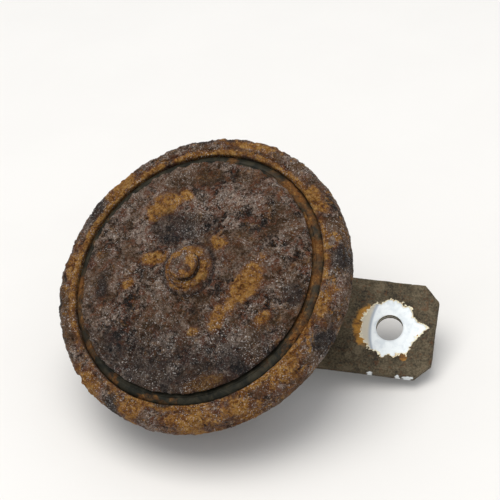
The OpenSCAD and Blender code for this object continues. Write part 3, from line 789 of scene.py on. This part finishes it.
class HORN_OT_membrane(HornPiece, bpy.types.Operator):
    """Membrane in two pieces that meet on the bead's crest: the clamped rim goes with the
    casing's body, and the web stays where it is drawn, on no body"""
    bl_idname = "horn.membrane"
    bl_label = "Membrane"

    def execute(self, context):
        rust, face = context.scene.horn_rust, context.scene.horn_face
        crest = [face.bead_r, face.bead_z]
        web = [[4.05, 0.25], [21, 0.25], [23, 0.95], [25, 1.25], [27, 0.95], [29, 0.25],
               [33.0, 0.25], [34.2, 0.7], [36.0, 2.8], [37.0, 3.9], [37.8, 4.3], crest]
        rim = [crest, [39.6, 4.25], [40.4, 3.8], [40.85, 3.1], [41, 1.2], [41.02, -0.5],
               [RIM_R - 1.5, -0.75]]
        finish = old_spring("membrane_spring", tuple(face.slope), tuple(face.dirt), rust)
        for name, path, count in (("membrane_web", web, 110), ("membrane_rim", rim, 40)):
            outline, normal = sheet_profile(path, 0.5, count)
            base, out = revolved(outline, normal, 480)
            r = radius(base)
            crust = 0.16 * layered(base, 3, 3, 51) + 0.10 * layered(base, 1.2, 2, 52)
            crust = smooth(r, 35.4, 37.4) * crust
            crust = crust * smooth(base[..., 2], -0.2, 0.8)
            points = base + out * crust[..., None]
            # Painted shade: the ochre is left off the lower side and mostly off the upper left, so there
            # the dark steel shows and stands for the shade that falls on these sides.
            lit = np.arctan2(base[..., 1], base[..., 0])
            shaded_low_side = smooth(np.cos(lit + np.radians(82)) + 0.25 * layered(base, 8, 3, 54), 0.3, 0.95)
            shaded_high_side = smooth(np.cos(lit - np.radians(120)), 0.3, 0.7)
            torn = layered(base, 5, 4, 53)
            ochre = smooth(r, 36.4, 37.9) * (1 - shaded_low_side) * (1 - 0.9 * shaded_high_side) * (0.55 + 0.9 * torn)
            ochre += 0.5 * smooth(torn, 0.15, 0.4) * smooth(r, 36.8, 38)
            piece = surface(name, on_horn(points), {"ochre": ochre})
            piece.data.materials.append(finish)
            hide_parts("diaphragm")
            if name == "membrane_rim":
                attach(piece, "horn")
            else:
                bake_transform(piece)
        return {"FINISHED"}


def sheet_profile(path, thickness, count):
    """A sheet's section: its middle line, set off half the thickness to each side."""
    middle = even(path, count)
    side = thickness / 2 * beside(middle)
    return closed_profile((middle + side, count), ([(middle + side)[-1], (middle - side)[-1]], 3),
                          ((middle - side)[::-1], count), ([(middle - side)[0], (middle + side)[0]], 3))


class HORN_OT_washer_and_bolt(HornPiece, bpy.types.Operator):
    """Eaten washer, and the bolt's head worn from a hexagon to nearly a round"""
    bl_idname = "horn.washer_and_bolt"
    bl_label = "Washer and bolt"

    def execute(self, context):
        rust, face = context.scene.horn_rust, context.scene.horn_face
        low, high = low_high("centre_washer")
        head_r = face.bolt_af / 2
        r_out = (high[0] - low[0]) / 2
        z0, z1 = low[2] - HORN[2], high[2] - HORN[2]
        outline, normal = closed_profile(
            ([[2.7, z1], [r_out - 0.5, z1]], 40),
            (arc((r_out - 0.5, z1 - 0.5), (0.5, 0.5), 90, 0, 8), 8),
            ([[r_out, z1 - 0.5], [r_out, z0]], 8), ([[r_out, z0], [2.7, z0], [2.7, z1]], 14))
        base, out = revolved(outline, normal, 420)
        r = radius(base)
        torn = 0.6 + layered(base * [1, 1, 0], 3, 3, 61)
        eaten = 1 - face.washer_wear / r_out * torn * smooth(r, 4, r_out)
        height = 0.55 * scale_height(base, 62)
        points = widened(base, eaten) + out * (height * smooth(base[..., 2], z0, z1))[..., None]
        # Painted shade: the washer is darkened next to the bolt's head, where the head's shadow falls.
        piece = surface("centre_washer_rusted", on_horn(points), {
            "ochre": 0.65 + 0.5 * smooth(layered(base, 4, 3, 63), -0.5, 0.3),
            "dark": 1.2 * smooth(r, head_r + 0.9, head_r + 0.1), "height": height})
        place(piece, "membrane_stack", "fastener_steel", scaled_iron("washer_rust", rust, 0.8),
              "centre_washer")

        low, high = low_high("centre_bolt")
        shank_z, top_z = low[2] - HORN[2], high[2] - HORN[2]
        outline = np.concatenate([
            even([[0.02, top_z - 0.15], [0.5 * head_r, top_z], [0.8 * head_r, top_z - 0.05]], 30),
            even(arc((0.8 * head_r, top_z - 0.75), (0.2 * head_r, 0.7), 84, 0, 14), 12),
            even([[head_r, top_z - 0.9], [0.97 * head_r, z1 + 1.1], [0.8 * head_r, z1 + 0.5],
                  [0.74 * head_r, z1 + 0.05]], 20),
            even([[3, z1 + 0.02], [2.5, z1 - 0.3], [2.5, shank_z], [0.02, shank_z]], 24)])
        base, out = revolved(outline, beside(outline), 300)
        angle = np.arctan2(base[..., 1], base[..., 0])
        r = radius(base)
        head = smooth(r, 1.5, head_r) * smooth(base[..., 2], z1 + 0.05, z1 + 0.5)
        hexagon = soft_hexagon(angle + 0.3, 9)
        wear = 1 + head * (hexagon - 1) - 0.03 * smooth(r, 1, 4) * layered(base, 3, 2, 66)
        height = 0.45 * scale_height(base, 64)
        points = widened(base, wear) + out * (
            height * smooth(base[..., 2], z1 + 0.1, z1 + 0.6) * smooth(r, 0.1, 0.6))[..., None]
        spots = [(2.6, 0.6, 1.8, 3, 30), (-2, 3, 2.5, 1.4, 40), (1, -3, 2, 1, 0)]
        ochre = patches(base, spots, 65, 0.5, 2)
        ochre = np.maximum(ochre, 0.75 * smooth(r, 0.72 * head_r, 0.95 * head_r))
        piece = surface("centre_bolt_worn", on_horn(points), {
            "ochre": ochre, "height": height}, across=False)
        place(piece, "membrane_stack", "fastener_steel", scaled_iron("bolt_rust", rust, 0.6),
              "centre_bolt")
        return {"FINISHED"}


def soft_hexagon(angle, hardness):
    """Radius of a rounded hexagon whose flats lie at 1: a high-power mean of its sides."""
    sides = np.arange(6) * np.pi / 3
    reach = np.maximum(np.cos(angle[..., None] - sides), 0) ** hardness
    return reach.sum(axis=-1) ** (-1 / hardness)


def strip_edge(strip, angle):
    """Distance from the hole to the strip's edge in each direction: the nearest of the
    sides, end and cut corners, or the round end about the stud."""
    c, s = np.cos(angle), np.sin(angle)
    half = strip.width / 2
    cut = strip.end_run + half - strip.corner
    reach = np.full(angle.shape, 1e3)
    for nx, ny, gap in ((0, 1, half), (0, -1, half), (1, 0, strip.end_run), (1, 1, cut), (1, -1, cut)):
        toward = nx * c + ny * s
        reach = np.where(toward > 1e-6, np.minimum(reach, gap / np.maximum(toward, 1e-6)), reach)
    middle = -(strip.bend_run + strip.stud_run)
    root = middle * c + np.sqrt(np.maximum((middle * c) ** 2 - middle ** 2 + half ** 2, 0))
    return np.where(reach * c < middle, root, reach)


def on_strip(strip, run, across, height):
    """From the flattened strip to the frame: run goes along the middle line, which turns
    by the bend angle over a short arc, and height stands square to it."""
    table = np.linspace(-80, 40, 6001)
    step = table[1] - table[0]
    turned = strip.bend * smooth(table, -strip.bend_run - 1.2, -strip.bend_run + 1.2)
    x = np.cumsum(np.cos(turned)) * step
    z = -np.cumsum(np.sin(turned)) * step
    x -= np.interp(0, table, x)
    z -= np.interp(0, table, z)
    a = np.interp(run, table, turned)
    return np.stack([np.interp(run, table, x) + np.sin(a) * height, across,
                     np.interp(run, table, z) + np.cos(a) * height], axis=-1) * MM


BARE_SPIKES = [(6, 3.0, 14), (-95, 1.4, 8), (-76, 1.0, 6), (-52, 1.3, 11), (125, 0.4, 9), (-128, 0.9, 9),
               (95, 0.3, 16), (-25, -0.8, 12), (35, -0.6, 16)]


def bare_patch(run, across):
    """1 on the laid-open plating and 0 on the paint: a round about the hole whose edge is
    torn by noise and pulled out in spikes."""
    angle = np.degrees(np.arctan2(across, run))
    r = np.hypot(run, across)
    edge = np.full(r.shape, 9.2)
    for at, out, spread in BARE_SPIKES:
        off = (angle - at + 180) % 360 - 180
        edge += out * np.maximum(1 - np.abs(off) / spread, 0)
    flat = np.stack([run, across, 0 * run], axis=-1)
    edge += 0.7 * layered(flat, 1.9, 2, 71) + 0.8 * layered(flat, 0.8, 2, 73) + 0.35 * noise(flat, 5, 72)
    return smooth(edge - r, -0.7, 1.0)


class HORN_OT_bracket(HornPiece, bpy.types.Operator):
    """Two bracket leaves: each is one skin wrapped round from the hole to the edge and back"""
    bl_idname = "horn.bracket"
    bl_label = "Bracket"

    def execute(self, context):
        strip = context.scene.horn_strip
        finish = painted_strip("bracket_paint", strip)
        for name, base_z, seed in (("bracket_leaf_front", 0.0, 80),
                                   ("bracket_leaf_rear", -strip.leaf_t, 90)):
            piece = strip_leaf(strip, name + "_painted", base_z, seed)
            place(piece, "bracket", "bracket_steel", finish, name)
        return {"FINISHED"}


def strip_leaf(strip, name, base_z, seed):
    """A leaf's skin: angles round the hole by steps from the hole's wall over the front
    face, round the worn edge, and back under the rear face."""
    fine = np.linspace(-np.pi, np.pi, 20001)
    reach = strip_edge(strip, fine)
    walk = np.hypot(np.diff(reach * np.cos(fine)), np.diff(reach * np.sin(fine)))
    walk = np.concatenate([[0], np.cumsum(walk + 0.35 * np.diff(fine) * 12)])
    angle = np.interp(np.linspace(0, walk[-1], 680, endpoint=False), walk, fine)
    reach = strip_edge(strip, angle)
    share = np.linspace(0, 1, 84)
    t = strip.leaf_t
    worn = 0.28
    out = np.concatenate([share, np.ones(5), share[::-1], np.zeros(3)])
    rim = np.concatenate([np.zeros(84), [0.45, 0.85, 1, 0.85, 0.45], np.zeros(84), np.zeros(3)])
    high = np.concatenate([np.full(84, t), t - worn * np.array([0.3, 1, 0, 0, 0]), np.zeros(84),
                           t * np.array([0.2, 0.5, 0.8])])
    high[86:89] = [t / 2, worn, 0.3 * worn]
    r = strip.hole_r + (reach[:, None] - strip.hole_r - worn) * out ** 1.15 + worn * rim
    c, s = np.cos(angle)[:, None], np.sin(angle)[:, None]
    run, across = r * c, r * s
    high = np.broadcast_to(high, r.shape)
    flat = np.stack([run, across, high], axis=-1)
    edge = smooth(reach[:, None] - r, 1.6, 0.0)
    wander = edge * (0.16 * layered(flat, 3.5, 3, seed) - 0.05)
    top = smooth(high, t * 0.6, t * 0.95)
    bare = bare_patch(run, across) * top
    dents = 0.10 * layered(flat, 9, 3, seed + 1) + 0.05 * layered(flat, 1.6, 3, seed + 2)
    dents -= 0.16 * smooth(layered(flat, 2.2, 2, seed + 3), 0.42, 0.66)
    face = np.where(high > t / 2, 1, -0.4)
    lift = (1 - bare) * dents + bare * (-0.09 + 0.02 * noise(flat, 6, seed + 4))
    lift += 0.10 * top * bare * (1 - bare) * 4
    lift *= smooth(r, strip.hole_r + 0.02, strip.hole_r + 0.5)
    points = on_strip(strip, run + wander * c, across + wander * s, high + base_z + face * lift)
    side = np.degrees(np.arctan2(across, run))
    left = smooth(np.abs(side), 118, 150)
    rust = smooth(r, 13.6, 9.8) * left * (0.85 + 0.5 * layered(flat, 3, 2, seed + 5)) * top
    rust = np.maximum(rust, 0.75 * smooth(np.hypot(run - 5.5, across + 9.1), 1.9, 0.9) * top)
    shade = smooth(np.hypot(run - 14, across) - 14, 4.8, 9.0) * smooth(r, 10.6, 9.6) * top
    chip_at = [(7.6, -15.5, 1.6), (4.4, -15.5, 0.7), (-4.2, -15.4, 0.8), (5.4, 15.5, 0.5)]
    chips = sum(smooth(np.abs(run - x) / w + np.abs(across - y) / 0.5
                       + 0.6 * noise(flat, 0.9, seed + 6), 1.2, 0.9) for x, y, w in chip_at)
    return surface(name, points, {"bare": bare, "rust": rust, "shade": shade,
                                  "chips": np.clip(chips, 0, 1)})


class HORN_OT_casing(HornPiece, bpy.types.Operator):
    """Pressed bowl behind the ring, carried round the axis and roughened by scale"""
    bl_idname = "horn.casing"
    bl_label = "Casing"

    def execute(self, context):
        rust = context.scene.horn_rust
        corner, flat_r, t = 5.0, 29.0, 1.2
        turn = arc((flat_r, REAR_Z + corner), (corner, corner), -22, -90, 14)
        inner = arc((flat_r, REAR_Z + corner), (corner - t, corner - t), -90, -22, 8)
        outline, normal = closed_profile(
            ([[46.2, -2.6], [46.2, -1.5], [41.6, -1.5], [40.9, -4]], 8),
            ([[40.9, -4], inner[-1]], 6), (inner, 4), ([inner[0], [3.05, REAR_Z + t]], 6),
            ([[3.05, REAR_Z + t], [3.05, REAR_Z]], 3), ([[3.05, REAR_Z], turn[-1]], 54),
            (turn[::-1], 22), ([turn[0], [42.1, -4.2], [42.5, -3.1], [43.2, -2.6]], 44),
            ([[43.2, -2.6], [46.2, -2.6]], 5))
        base, out = revolved(outline, normal, 600)
        r = radius(base)
        z = base[..., 2]
        outside = np.broadcast_to(np.isin(np.arange(len(outline)), np.arange(27, 147)), r.shape)
        height = scale_height(base, 41)
        calm = smooth(r, 12, 16) * (0.45 + 0.55 * smooth(z, REAR_Z, REAR_Z + 2)) * smooth(z, -2.7, -4.5)
        points = base + out * (rust.depth * 0.8 * height * calm * outside)[..., None]
        piece = surface("casing_scaled", on_horn(points), {
            "ochre": 0.7 * smooth(layered(base, 12, 4, 42), 0.05, 0.45), "height": height,
            "dark": smooth(layered(base, 14, 3, 43), 0.0, 0.5)})
        place(piece, "horn", "casing_steel", scaled_iron("casing_scale", rust, 0.8), "housing")
        return {"FINISHED"}


def at_axis(points, spot):
    """Millimetres about an upright axis through spot, in the frame's metres."""
    return (points + np.array([spot[0], spot[1], 0])) * MM


def chamfered_nut(name, spot, across_flats, bore, z0, z1):
    """A nut: hexagon radius cut back by a cone at each end, closed through its bore."""
    angle = np.linspace(0, 2 * np.pi, 240, endpoint=False)[:, None]
    sixth = np.pi / 3
    hexagon = across_flats / 2 / np.cos((angle + sixth / 2) % sixth - sixth / 2)
    z = np.concatenate([np.full(10, z0), np.linspace(z0, z1, 26), np.full(10, z1),
                        np.linspace(z1, z0, 8)])
    out = np.concatenate([np.linspace(0, 1, 11)[:-1], np.ones(26), np.linspace(1, 0, 11)[1:],
                          np.zeros(8)])
    cone = across_flats / 2 + 0.05 + 1.7 * np.minimum(z - z0, z1 - z)
    r = bore + (np.minimum(hexagon, cone[None, :]) - bore) * out
    points = np.stack([r * np.cos(angle), r * np.sin(angle), np.broadcast_to(z, r.shape)], axis=-1)
    pitted = 0.10 * layered(points, 1.5, 3, 101) * out
    points = points + np.stack([np.cos(angle) * pitted, np.sin(angle) * pitted, 0 * pitted], axis=-1)
    return surface(name, at_axis(points, spot))


def threaded_rod(name, spot, radius, z0, z1, pitch, depth, tip_r=None, tip_l=0.0, slot=0.0):
    """A screw: its radius dips in a triangle wave that climbs one pitch each turn. The
    lower end can step to a plain tip, or carry a slot sunk across its end."""
    angle = np.linspace(0, 2 * np.pi, 48, endpoint=False)[:, None]
    rows = int((z1 - z0) / pitch * 10)
    caps = 16
    z = np.concatenate([np.full(caps, z0), np.linspace(z0, z1, rows), np.full(4, z1)])
    out = np.concatenate([np.linspace(0.02, 0.97, caps), np.ones(rows), np.linspace(0.9, 0.05, 4)])
    wave = np.abs(((z[None, :] / pitch - angle / (2 * np.pi)) % 1) * 2 - 1)
    ends = smooth(z, z0, z0 + pitch) * smooth(z, z1, z1 - pitch)
    r = (radius - depth * wave * ends - 0.25 * (1 - smooth(z, z0, z0 + 0.5))) * out
    if tip_r:
        r = np.where(z < z0 + tip_l, np.minimum(r, tip_r * out), r)
    z = np.broadcast_to(z, r.shape)
    if slot:
        near = np.abs(r * np.sin(angle)) < 0.5
        z = np.where(near & (z < z0 + slot), z0 + slot, z)
    points = np.stack([r * np.cos(angle), r * np.sin(angle), z], axis=-1)
    return surface(name, at_axis(points, spot), across=False)


def rounded_block(half, round_r):
    """A moulded bar of half sizes: a superellipse section carried along y, drawn in at
    its ends."""
    angle = np.linspace(0, 2 * np.pi, 96, endpoint=False)[:, None]
    c, s = np.cos(angle), np.sin(angle)
    fit = (np.abs(c) ** 9 + np.abs(s) ** 9) ** (-1 / 9)
    end = round_r * (1 - np.cos(np.linspace(0, np.pi / 2, 8)))
    inset = round_r * (1 - np.sin(np.linspace(0, np.pi / 2, 8)))
    y = np.concatenate([np.full(10, -half[1]), -half[1] + end,
                        np.linspace(-half[1] + round_r, half[1] - round_r, 50),
                        half[1] - end[::-1], np.full(10, half[1])])
    share = np.concatenate([np.linspace(0.03, 0.97, 10), np.ones(66), np.linspace(0.97, 0.03, 10)])
    pull = np.concatenate([np.full(10, round_r), inset, np.zeros(50), inset[::-1], np.full(10, round_r)])
    x = c * fit * (half[0] - pull) * share
    z = s * fit * (half[2] - pull) * share
    points = np.stack([x, np.broadcast_to(y, x.shape), z], axis=-1)
    far = np.linalg.norm(points, axis=-1, keepdims=True) + 1
    points = points + 0.05 * layered(points, 2, 3, 103)[..., None] * points / far
    return points


class HORN_OT_rear_fittings(HornPiece, bpy.types.Operator):
    """Stud, adjusting screw and terminals with their threads, and the chamfered nuts"""
    bl_idname = "horn.rear_fittings"
    bl_label = "Rear fittings"

    def execute(self, context):
        rust = context.scene.horn_rust
        steel = plain_steel("fitting_steel", (0.17, 0.15, 0.13), tuple(rust.ochre), 0.5, 0.75)
        brass = tarnished_brass("terminal_brass", (0.42, 0.30, 0.12), (0.16, 0.11, 0.055))
        nut_low, nut_high = low_high("stud_nut")
        stud_low, stud_high = low_high("mounting_stud")
        centre = (stud_low + stud_high) / 2
        stud = threaded_rod("mounting_stud_threaded", centre, 3, stud_low[2], stud_high[2], 1.0, 0.45)
        place(stud, "horn", "fastener_steel", steel, "mounting_stud")
        nut = chamfered_nut("stud_nut_chamfered", centre, 10, 3.0, nut_low[2], nut_high[2])
        place(nut, "horn", "fastener_steel", steel, "stud_nut")
        low, high = low_high("adjusting_screw")
        centre = (low + high) / 2
        screw = threaded_rod("adjusting_screw_slotted", centre, 2.5, low[2], high[2], 0.8, 0.35,
                             slot=1.2)
        place(screw, "adjuster", "fastener_steel", steel, "adjusting_screw")
        low, high = low_high("adjuster_lock_nut")
        nut = chamfered_nut("adjuster_lock_nut_chamfered", (low + high) / 2, 8, 2.65, low[2], high[2])
        place(nut, "horn", "fastener_steel", steel, "adjuster_lock_nut")
        for side, sign in (("a", -1), ("b", 1)):
            spot = terminal_spot(sign)
            low, high = low_high("terminal_studs")
            stud = threaded_rod("terminal_stud_" + side, spot, 2.0, low[2], high[2] - 1.9, 0.7, 0.3,
                                tip_r=1.5, tip_l=3.0)
            place(stud, "horn", "terminal_brass", brass, "terminal_studs")
            low, high = low_high("terminal_nuts")
            nut = chamfered_nut("terminal_nut_" + side, spot, 7, 2.0, low[2], high[2])
            place(nut, "horn", "terminal_brass", brass, "terminal_nuts")
        low, high = low_high("terminal_block")
        points = rounded_block(np.array([4.5, 11, 1.5]), 0.7)
        points = points @ np.array(Matrix.Rotation(-TERMINAL_ANGLE, 3, "Z"))
        points = points + np.array([*terminal_spot(0)[:2], (low[2] + high[2]) / 2])
        block = surface("terminal_block_moulded", points * MM, across=False)
        bakelite = moulding("terminal_bakelite", (0.035, 0.018, 0.011), (0.085, 0.050, 0.032))
        place(block, "horn", "bakelite", bakelite, "terminal_block")
        return {"FINISHED"}


TERMINAL_ANGLE = np.radians(140)


def terminal_spot(sign):
    """Place of a terminal on the casing's rear: the block's middle, or 7 mm to a side."""
    out = np.array([np.cos(TERMINAL_ANGLE), np.sin(TERMINAL_ANGLE), 0])
    side = np.array([-out[1], out[0], 0])
    return HORN * [1, 1, 0] + 21.5 * out + 7 * sign * side


class HORN_OT_frame_finishes(HornPiece, bpy.types.Operator):
    """Finishes of the frame's own nodes, by what they are made of"""
    bl_idname = "horn.frame_finishes"
    bl_label = "Frame finishes"

    def execute(self, context):
        rust = context.scene.horn_rust
        ochre = tuple(rust.ochre)
        brass = tarnished_brass("breaker_brass", (0.45, 0.33, 0.14), (0.18, 0.12, 0.06))
        fibre = moulding("brown_fibre", (0.16, 0.075, 0.035), (0.26, 0.14, 0.07), 0.6)
        iron = plain_steel("soft_iron", (0.24, 0.225, 0.21), ochre, 0.45, 0.4)
        fastener = plain_steel("washer_steel", (0.17, 0.15, 0.13), ochre, 0.5, 0.8)
        finishes = [
            (moulding("gasket_paper", (0.045, 0.036, 0.028), (0.10, 0.08, 0.06), 0.8),
             ["front_gasket", "rear_gasket"]),
            (plain_steel("plate_steel", (0.13, 0.115, 0.10), ochre, 0.55, 0.9), ["back_plate"]),
            (fastener, ["spring_washer", "core_rivets", "armature_spindle", "spacer",
                        "front_clamp_washer", "rear_clamp_washer", "suppressor_clip"]),
            (iron, ["magnet_core", "armature", "breaker_bracket"]),
            (fibre, ["coil_bobbin", "pusher", "terminal_bushes"]),
            (wound_copper("coil_copper", (0.42, 0.15, 0.055), (0.12, 0.035, 0.015)), ["coil_winding"]),
            (moulding("breaker_bakelite", (0.035, 0.018, 0.011), (0.08, 0.05, 0.03)), ["breaker_block"]),
            (brass, ["fixed_contact_arm", "breaker_screws", "adjuster_bush", "terminal_washers"]),
            (plain_steel("blade_spring_steel", (0.36, 0.33, 0.29), (0.20, 0.10, 0.04), 0.35, 0.2, 0.9),
             ["contact_blade"]),
            (plain_steel("contact_metal", (0.55, 0.55, 0.56), (0.12, 0.09, 0.07), 0.3, 0.15, 0.95),
             ["fixed_contact", "moving_contact"]),
            (moulding("resistor_coating", (0.30, 0.25, 0.18), (0.42, 0.37, 0.28), 0.6), ["suppressor"]),
            (moulding("lead_sleeve", (0.10, 0.032, 0.022), (0.17, 0.06, 0.04), 0.6),
             ["coil_lead", "breaker_lead"]),
        ]
        for finish, nodes in finishes:
            for node in nodes:
                materials = frame["nodes"][node].data.materials
                if not materials:
                    materials.append(finish)
                for index in range(len(materials)):
                    materials[index] = finish
        return {"FINISHED"}


# ---- Stage ----

FLOOR_NORMAL = Vector((0.10, 0.50, 0.86)).normalized()   # floor of the horn as it lies


def light(name, size, power, colour, at, aim):
    """A soft square light at a point, turned to face the aim."""
    lamp = bpy.data.lights.new(name, "AREA")
    lamp.size, lamp.energy, lamp.color = size, power, colour
    holder = bpy.data.objects.new(name, lamp)
    holder.location = at
    holder.rotation_euler = (aim - at).to_track_quat("-Z", "Y").to_euler()
    bpy.context.scene.collection.objects.link(holder)


def lowest_along(mesh, direction):
    """How far the mesh reaches against a direction."""
    flat = np.empty(3 * len(mesh.vertices), np.float32)
    mesh.vertices.foreach_get("co", flat)
    return float((flat.reshape(-1, 3) @ np.array(direction)).min())


class HORN_OT_stage(HornPiece, bpy.types.Operator):
    """Pale floor under the lying horn, soft light from overhead, and the camera"""
    bl_idname = "horn.stage"
    bl_label = "Stage"

    def execute(self, context):
        stage = context.scene.horn_stage
        scene = context.scene
        low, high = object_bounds()
        aim = (Vector(low) + Vector(high)) / 2
        depth = min(lowest_along(o.data, FLOOR_NORMAL) for o in bpy.data.objects
                    if o.type == "MESH" and not o.hide_render)
        middle = aim - FLOOR_NORMAL * (FLOOR_NORMAL.dot(aim) - depth)
        side = FLOOR_NORMAL.orthogonal().normalized() * FLOOR_R
        other = FLOOR_NORMAL.cross(side)
        mesh = bpy.data.meshes.new("floor")
        corners = [middle + side, middle + other, middle - side, middle - other]
        mesh.from_pydata(corners, [], [(0, 1, 2, 3)])
        floor = bpy.data.objects.new("floor", mesh)
        scene.collection.objects.link(floor)
        mesh.materials.append(floor_finish(tuple(stage.floor)))
        floor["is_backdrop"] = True

        world = bpy.data.worlds.new("soft_sky")
        scene.world = world
        world.use_nodes = True
        sky = world.node_tree.nodes["Background"]
        sky.inputs["Color"].default_value = (*stage.sky, 1)
        sky.inputs["Strength"].default_value = stage.sky_strength
        light("key", 0.95, stage.key_power, (1.0, 0.985, 0.96), aim + KEY_AWAY * KEY_TOWARD, aim)
        light("fill", 1.0, FILL_SHARE * stage.key_power, (0.93, 0.96, 1.0), aim + FILL_AT, aim)

        lens = bpy.data.cameras.new("camera")
        lens.lens, lens.sensor_width, lens.clip_start = 100.8, 36, 0.01
        camera = bpy.data.objects.new("camera", lens)
        turn = (Matrix.Rotation(CAMERA_AZIMUTH, 4, "Z")
                @ Matrix.Rotation(np.pi / 2 - CAMERA_HEIGHT, 4, "X")
                @ Matrix.Rotation(CAMERA_ROLL, 4, "Z"))
        target = Vector(HORN * MM) + CAMERA_TARGET
        eye = target + turn.to_3x3() @ Vector((0, 0, CAMERA_AWAY))
        camera.matrix_world = Matrix.Translation(eye) @ turn
        scene.collection.objects.link(camera)
        scene.camera = camera
        scene.view_settings.view_transform = "Standard"
        return {"FINISHED"}


# The key light's distance and direction, and the fill light's place and share of its power
KEY_AWAY = 1.15
KEY_TOWARD = Vector((0.03, 0.42, 0.905))
FILL_AT = Vector((1.0, -0.5, 0.9))
FILL_SHARE = 0.12
FLOOR_R = 3.2       # metres from the middle to a corner
CAMERA_AZIMUTH = np.radians(48.6)
CAMERA_HEIGHT = np.radians(57.65)
CAMERA_ROLL = np.radians(-42.8)
CAMERA_AWAY = 0.445
CAMERA_TARGET = Vector((0.0075, 0.0167, -0.0141))


def floor_finish(colour):
    """Pale painted board, seen only from above."""
    f = Finish("pale_floor")
    cloud = f.noise(45, 4, 0.5)
    grain = f.noise(4, 5, 0.6)
    tone = f.blend(f.band(cloud, 0.35, 0.65, 0, 0.25), colour, tuple(0.95 * c for c in colour))
    material = f.done(tone, 0.6, f.bump(grain, 0.15, 0.25), specular=0.2)
    through = f.node("BsdfTransparent")
    chosen = f.node("MixShader")
    f.link(f.node("NewGeometry").outputs["Backfacing"], chosen.inputs[0])
    f.link(f.shader.outputs[0], chosen.inputs[1])
    f.link(through.outputs[0], chosen.inputs[2])
    f.link(chosen.outputs[0], next(n for n in f.tree.nodes if n.type == "OUTPUT_MATERIAL").inputs[0])
    return material


# ---- Add-on ----

PIECES = (HORN_OT_front_ring, HORN_OT_tone_disc, HORN_OT_membrane, HORN_OT_washer_and_bolt,
          HORN_OT_bracket, HORN_OT_casing, HORN_OT_rear_fittings, HORN_OT_frame_finishes, HORN_OT_stage)
GROUPS = {"horn_rust": RustSettings, "horn_face": FaceSettings, "horn_strip": StripSettings,
          "horn_stage": StageSettings}


class HORN_PT_panel(bpy.types.Panel):
    """Lists the pieces in the 3D view's sidebar"""
    bl_label = "Disc Horn"
    bl_idname = "HORN_PT_panel"
    bl_space_type = "VIEW_3D"
    bl_region_type = "UI"
    bl_category = "Disc Horn"

    def draw(self, context):
        for piece in PIECES:
            self.layout.operator(piece.bl_idname)
        for name, group in GROUPS.items():
            box = self.layout.box()
            for key in group.__annotations__:
                box.prop(getattr(context.scene, name), key)


def register():
    for group in GROUPS.values():
        bpy.utils.register_class(group)
    for name, group in GROUPS.items():
        setattr(bpy.types.Scene, name, PointerProperty(type=group))
    for piece in (*PIECES, HORN_PT_panel):
        bpy.utils.register_class(piece)


def unregister():
    for piece in (HORN_PT_panel, *PIECES[::-1]):
        bpy.utils.unregister_class(piece)
    for name in GROUPS:
        delattr(bpy.types.Scene, name)
    for group in GROUPS.values():
        bpy.utils.unregister_class(group)


def main():
    register()
    for piece in PIECES:
        group, name = piece.bl_idname.split(".")
        getattr(getattr(bpy.ops, group), name)()


if __name__ == "__main__":
    main()
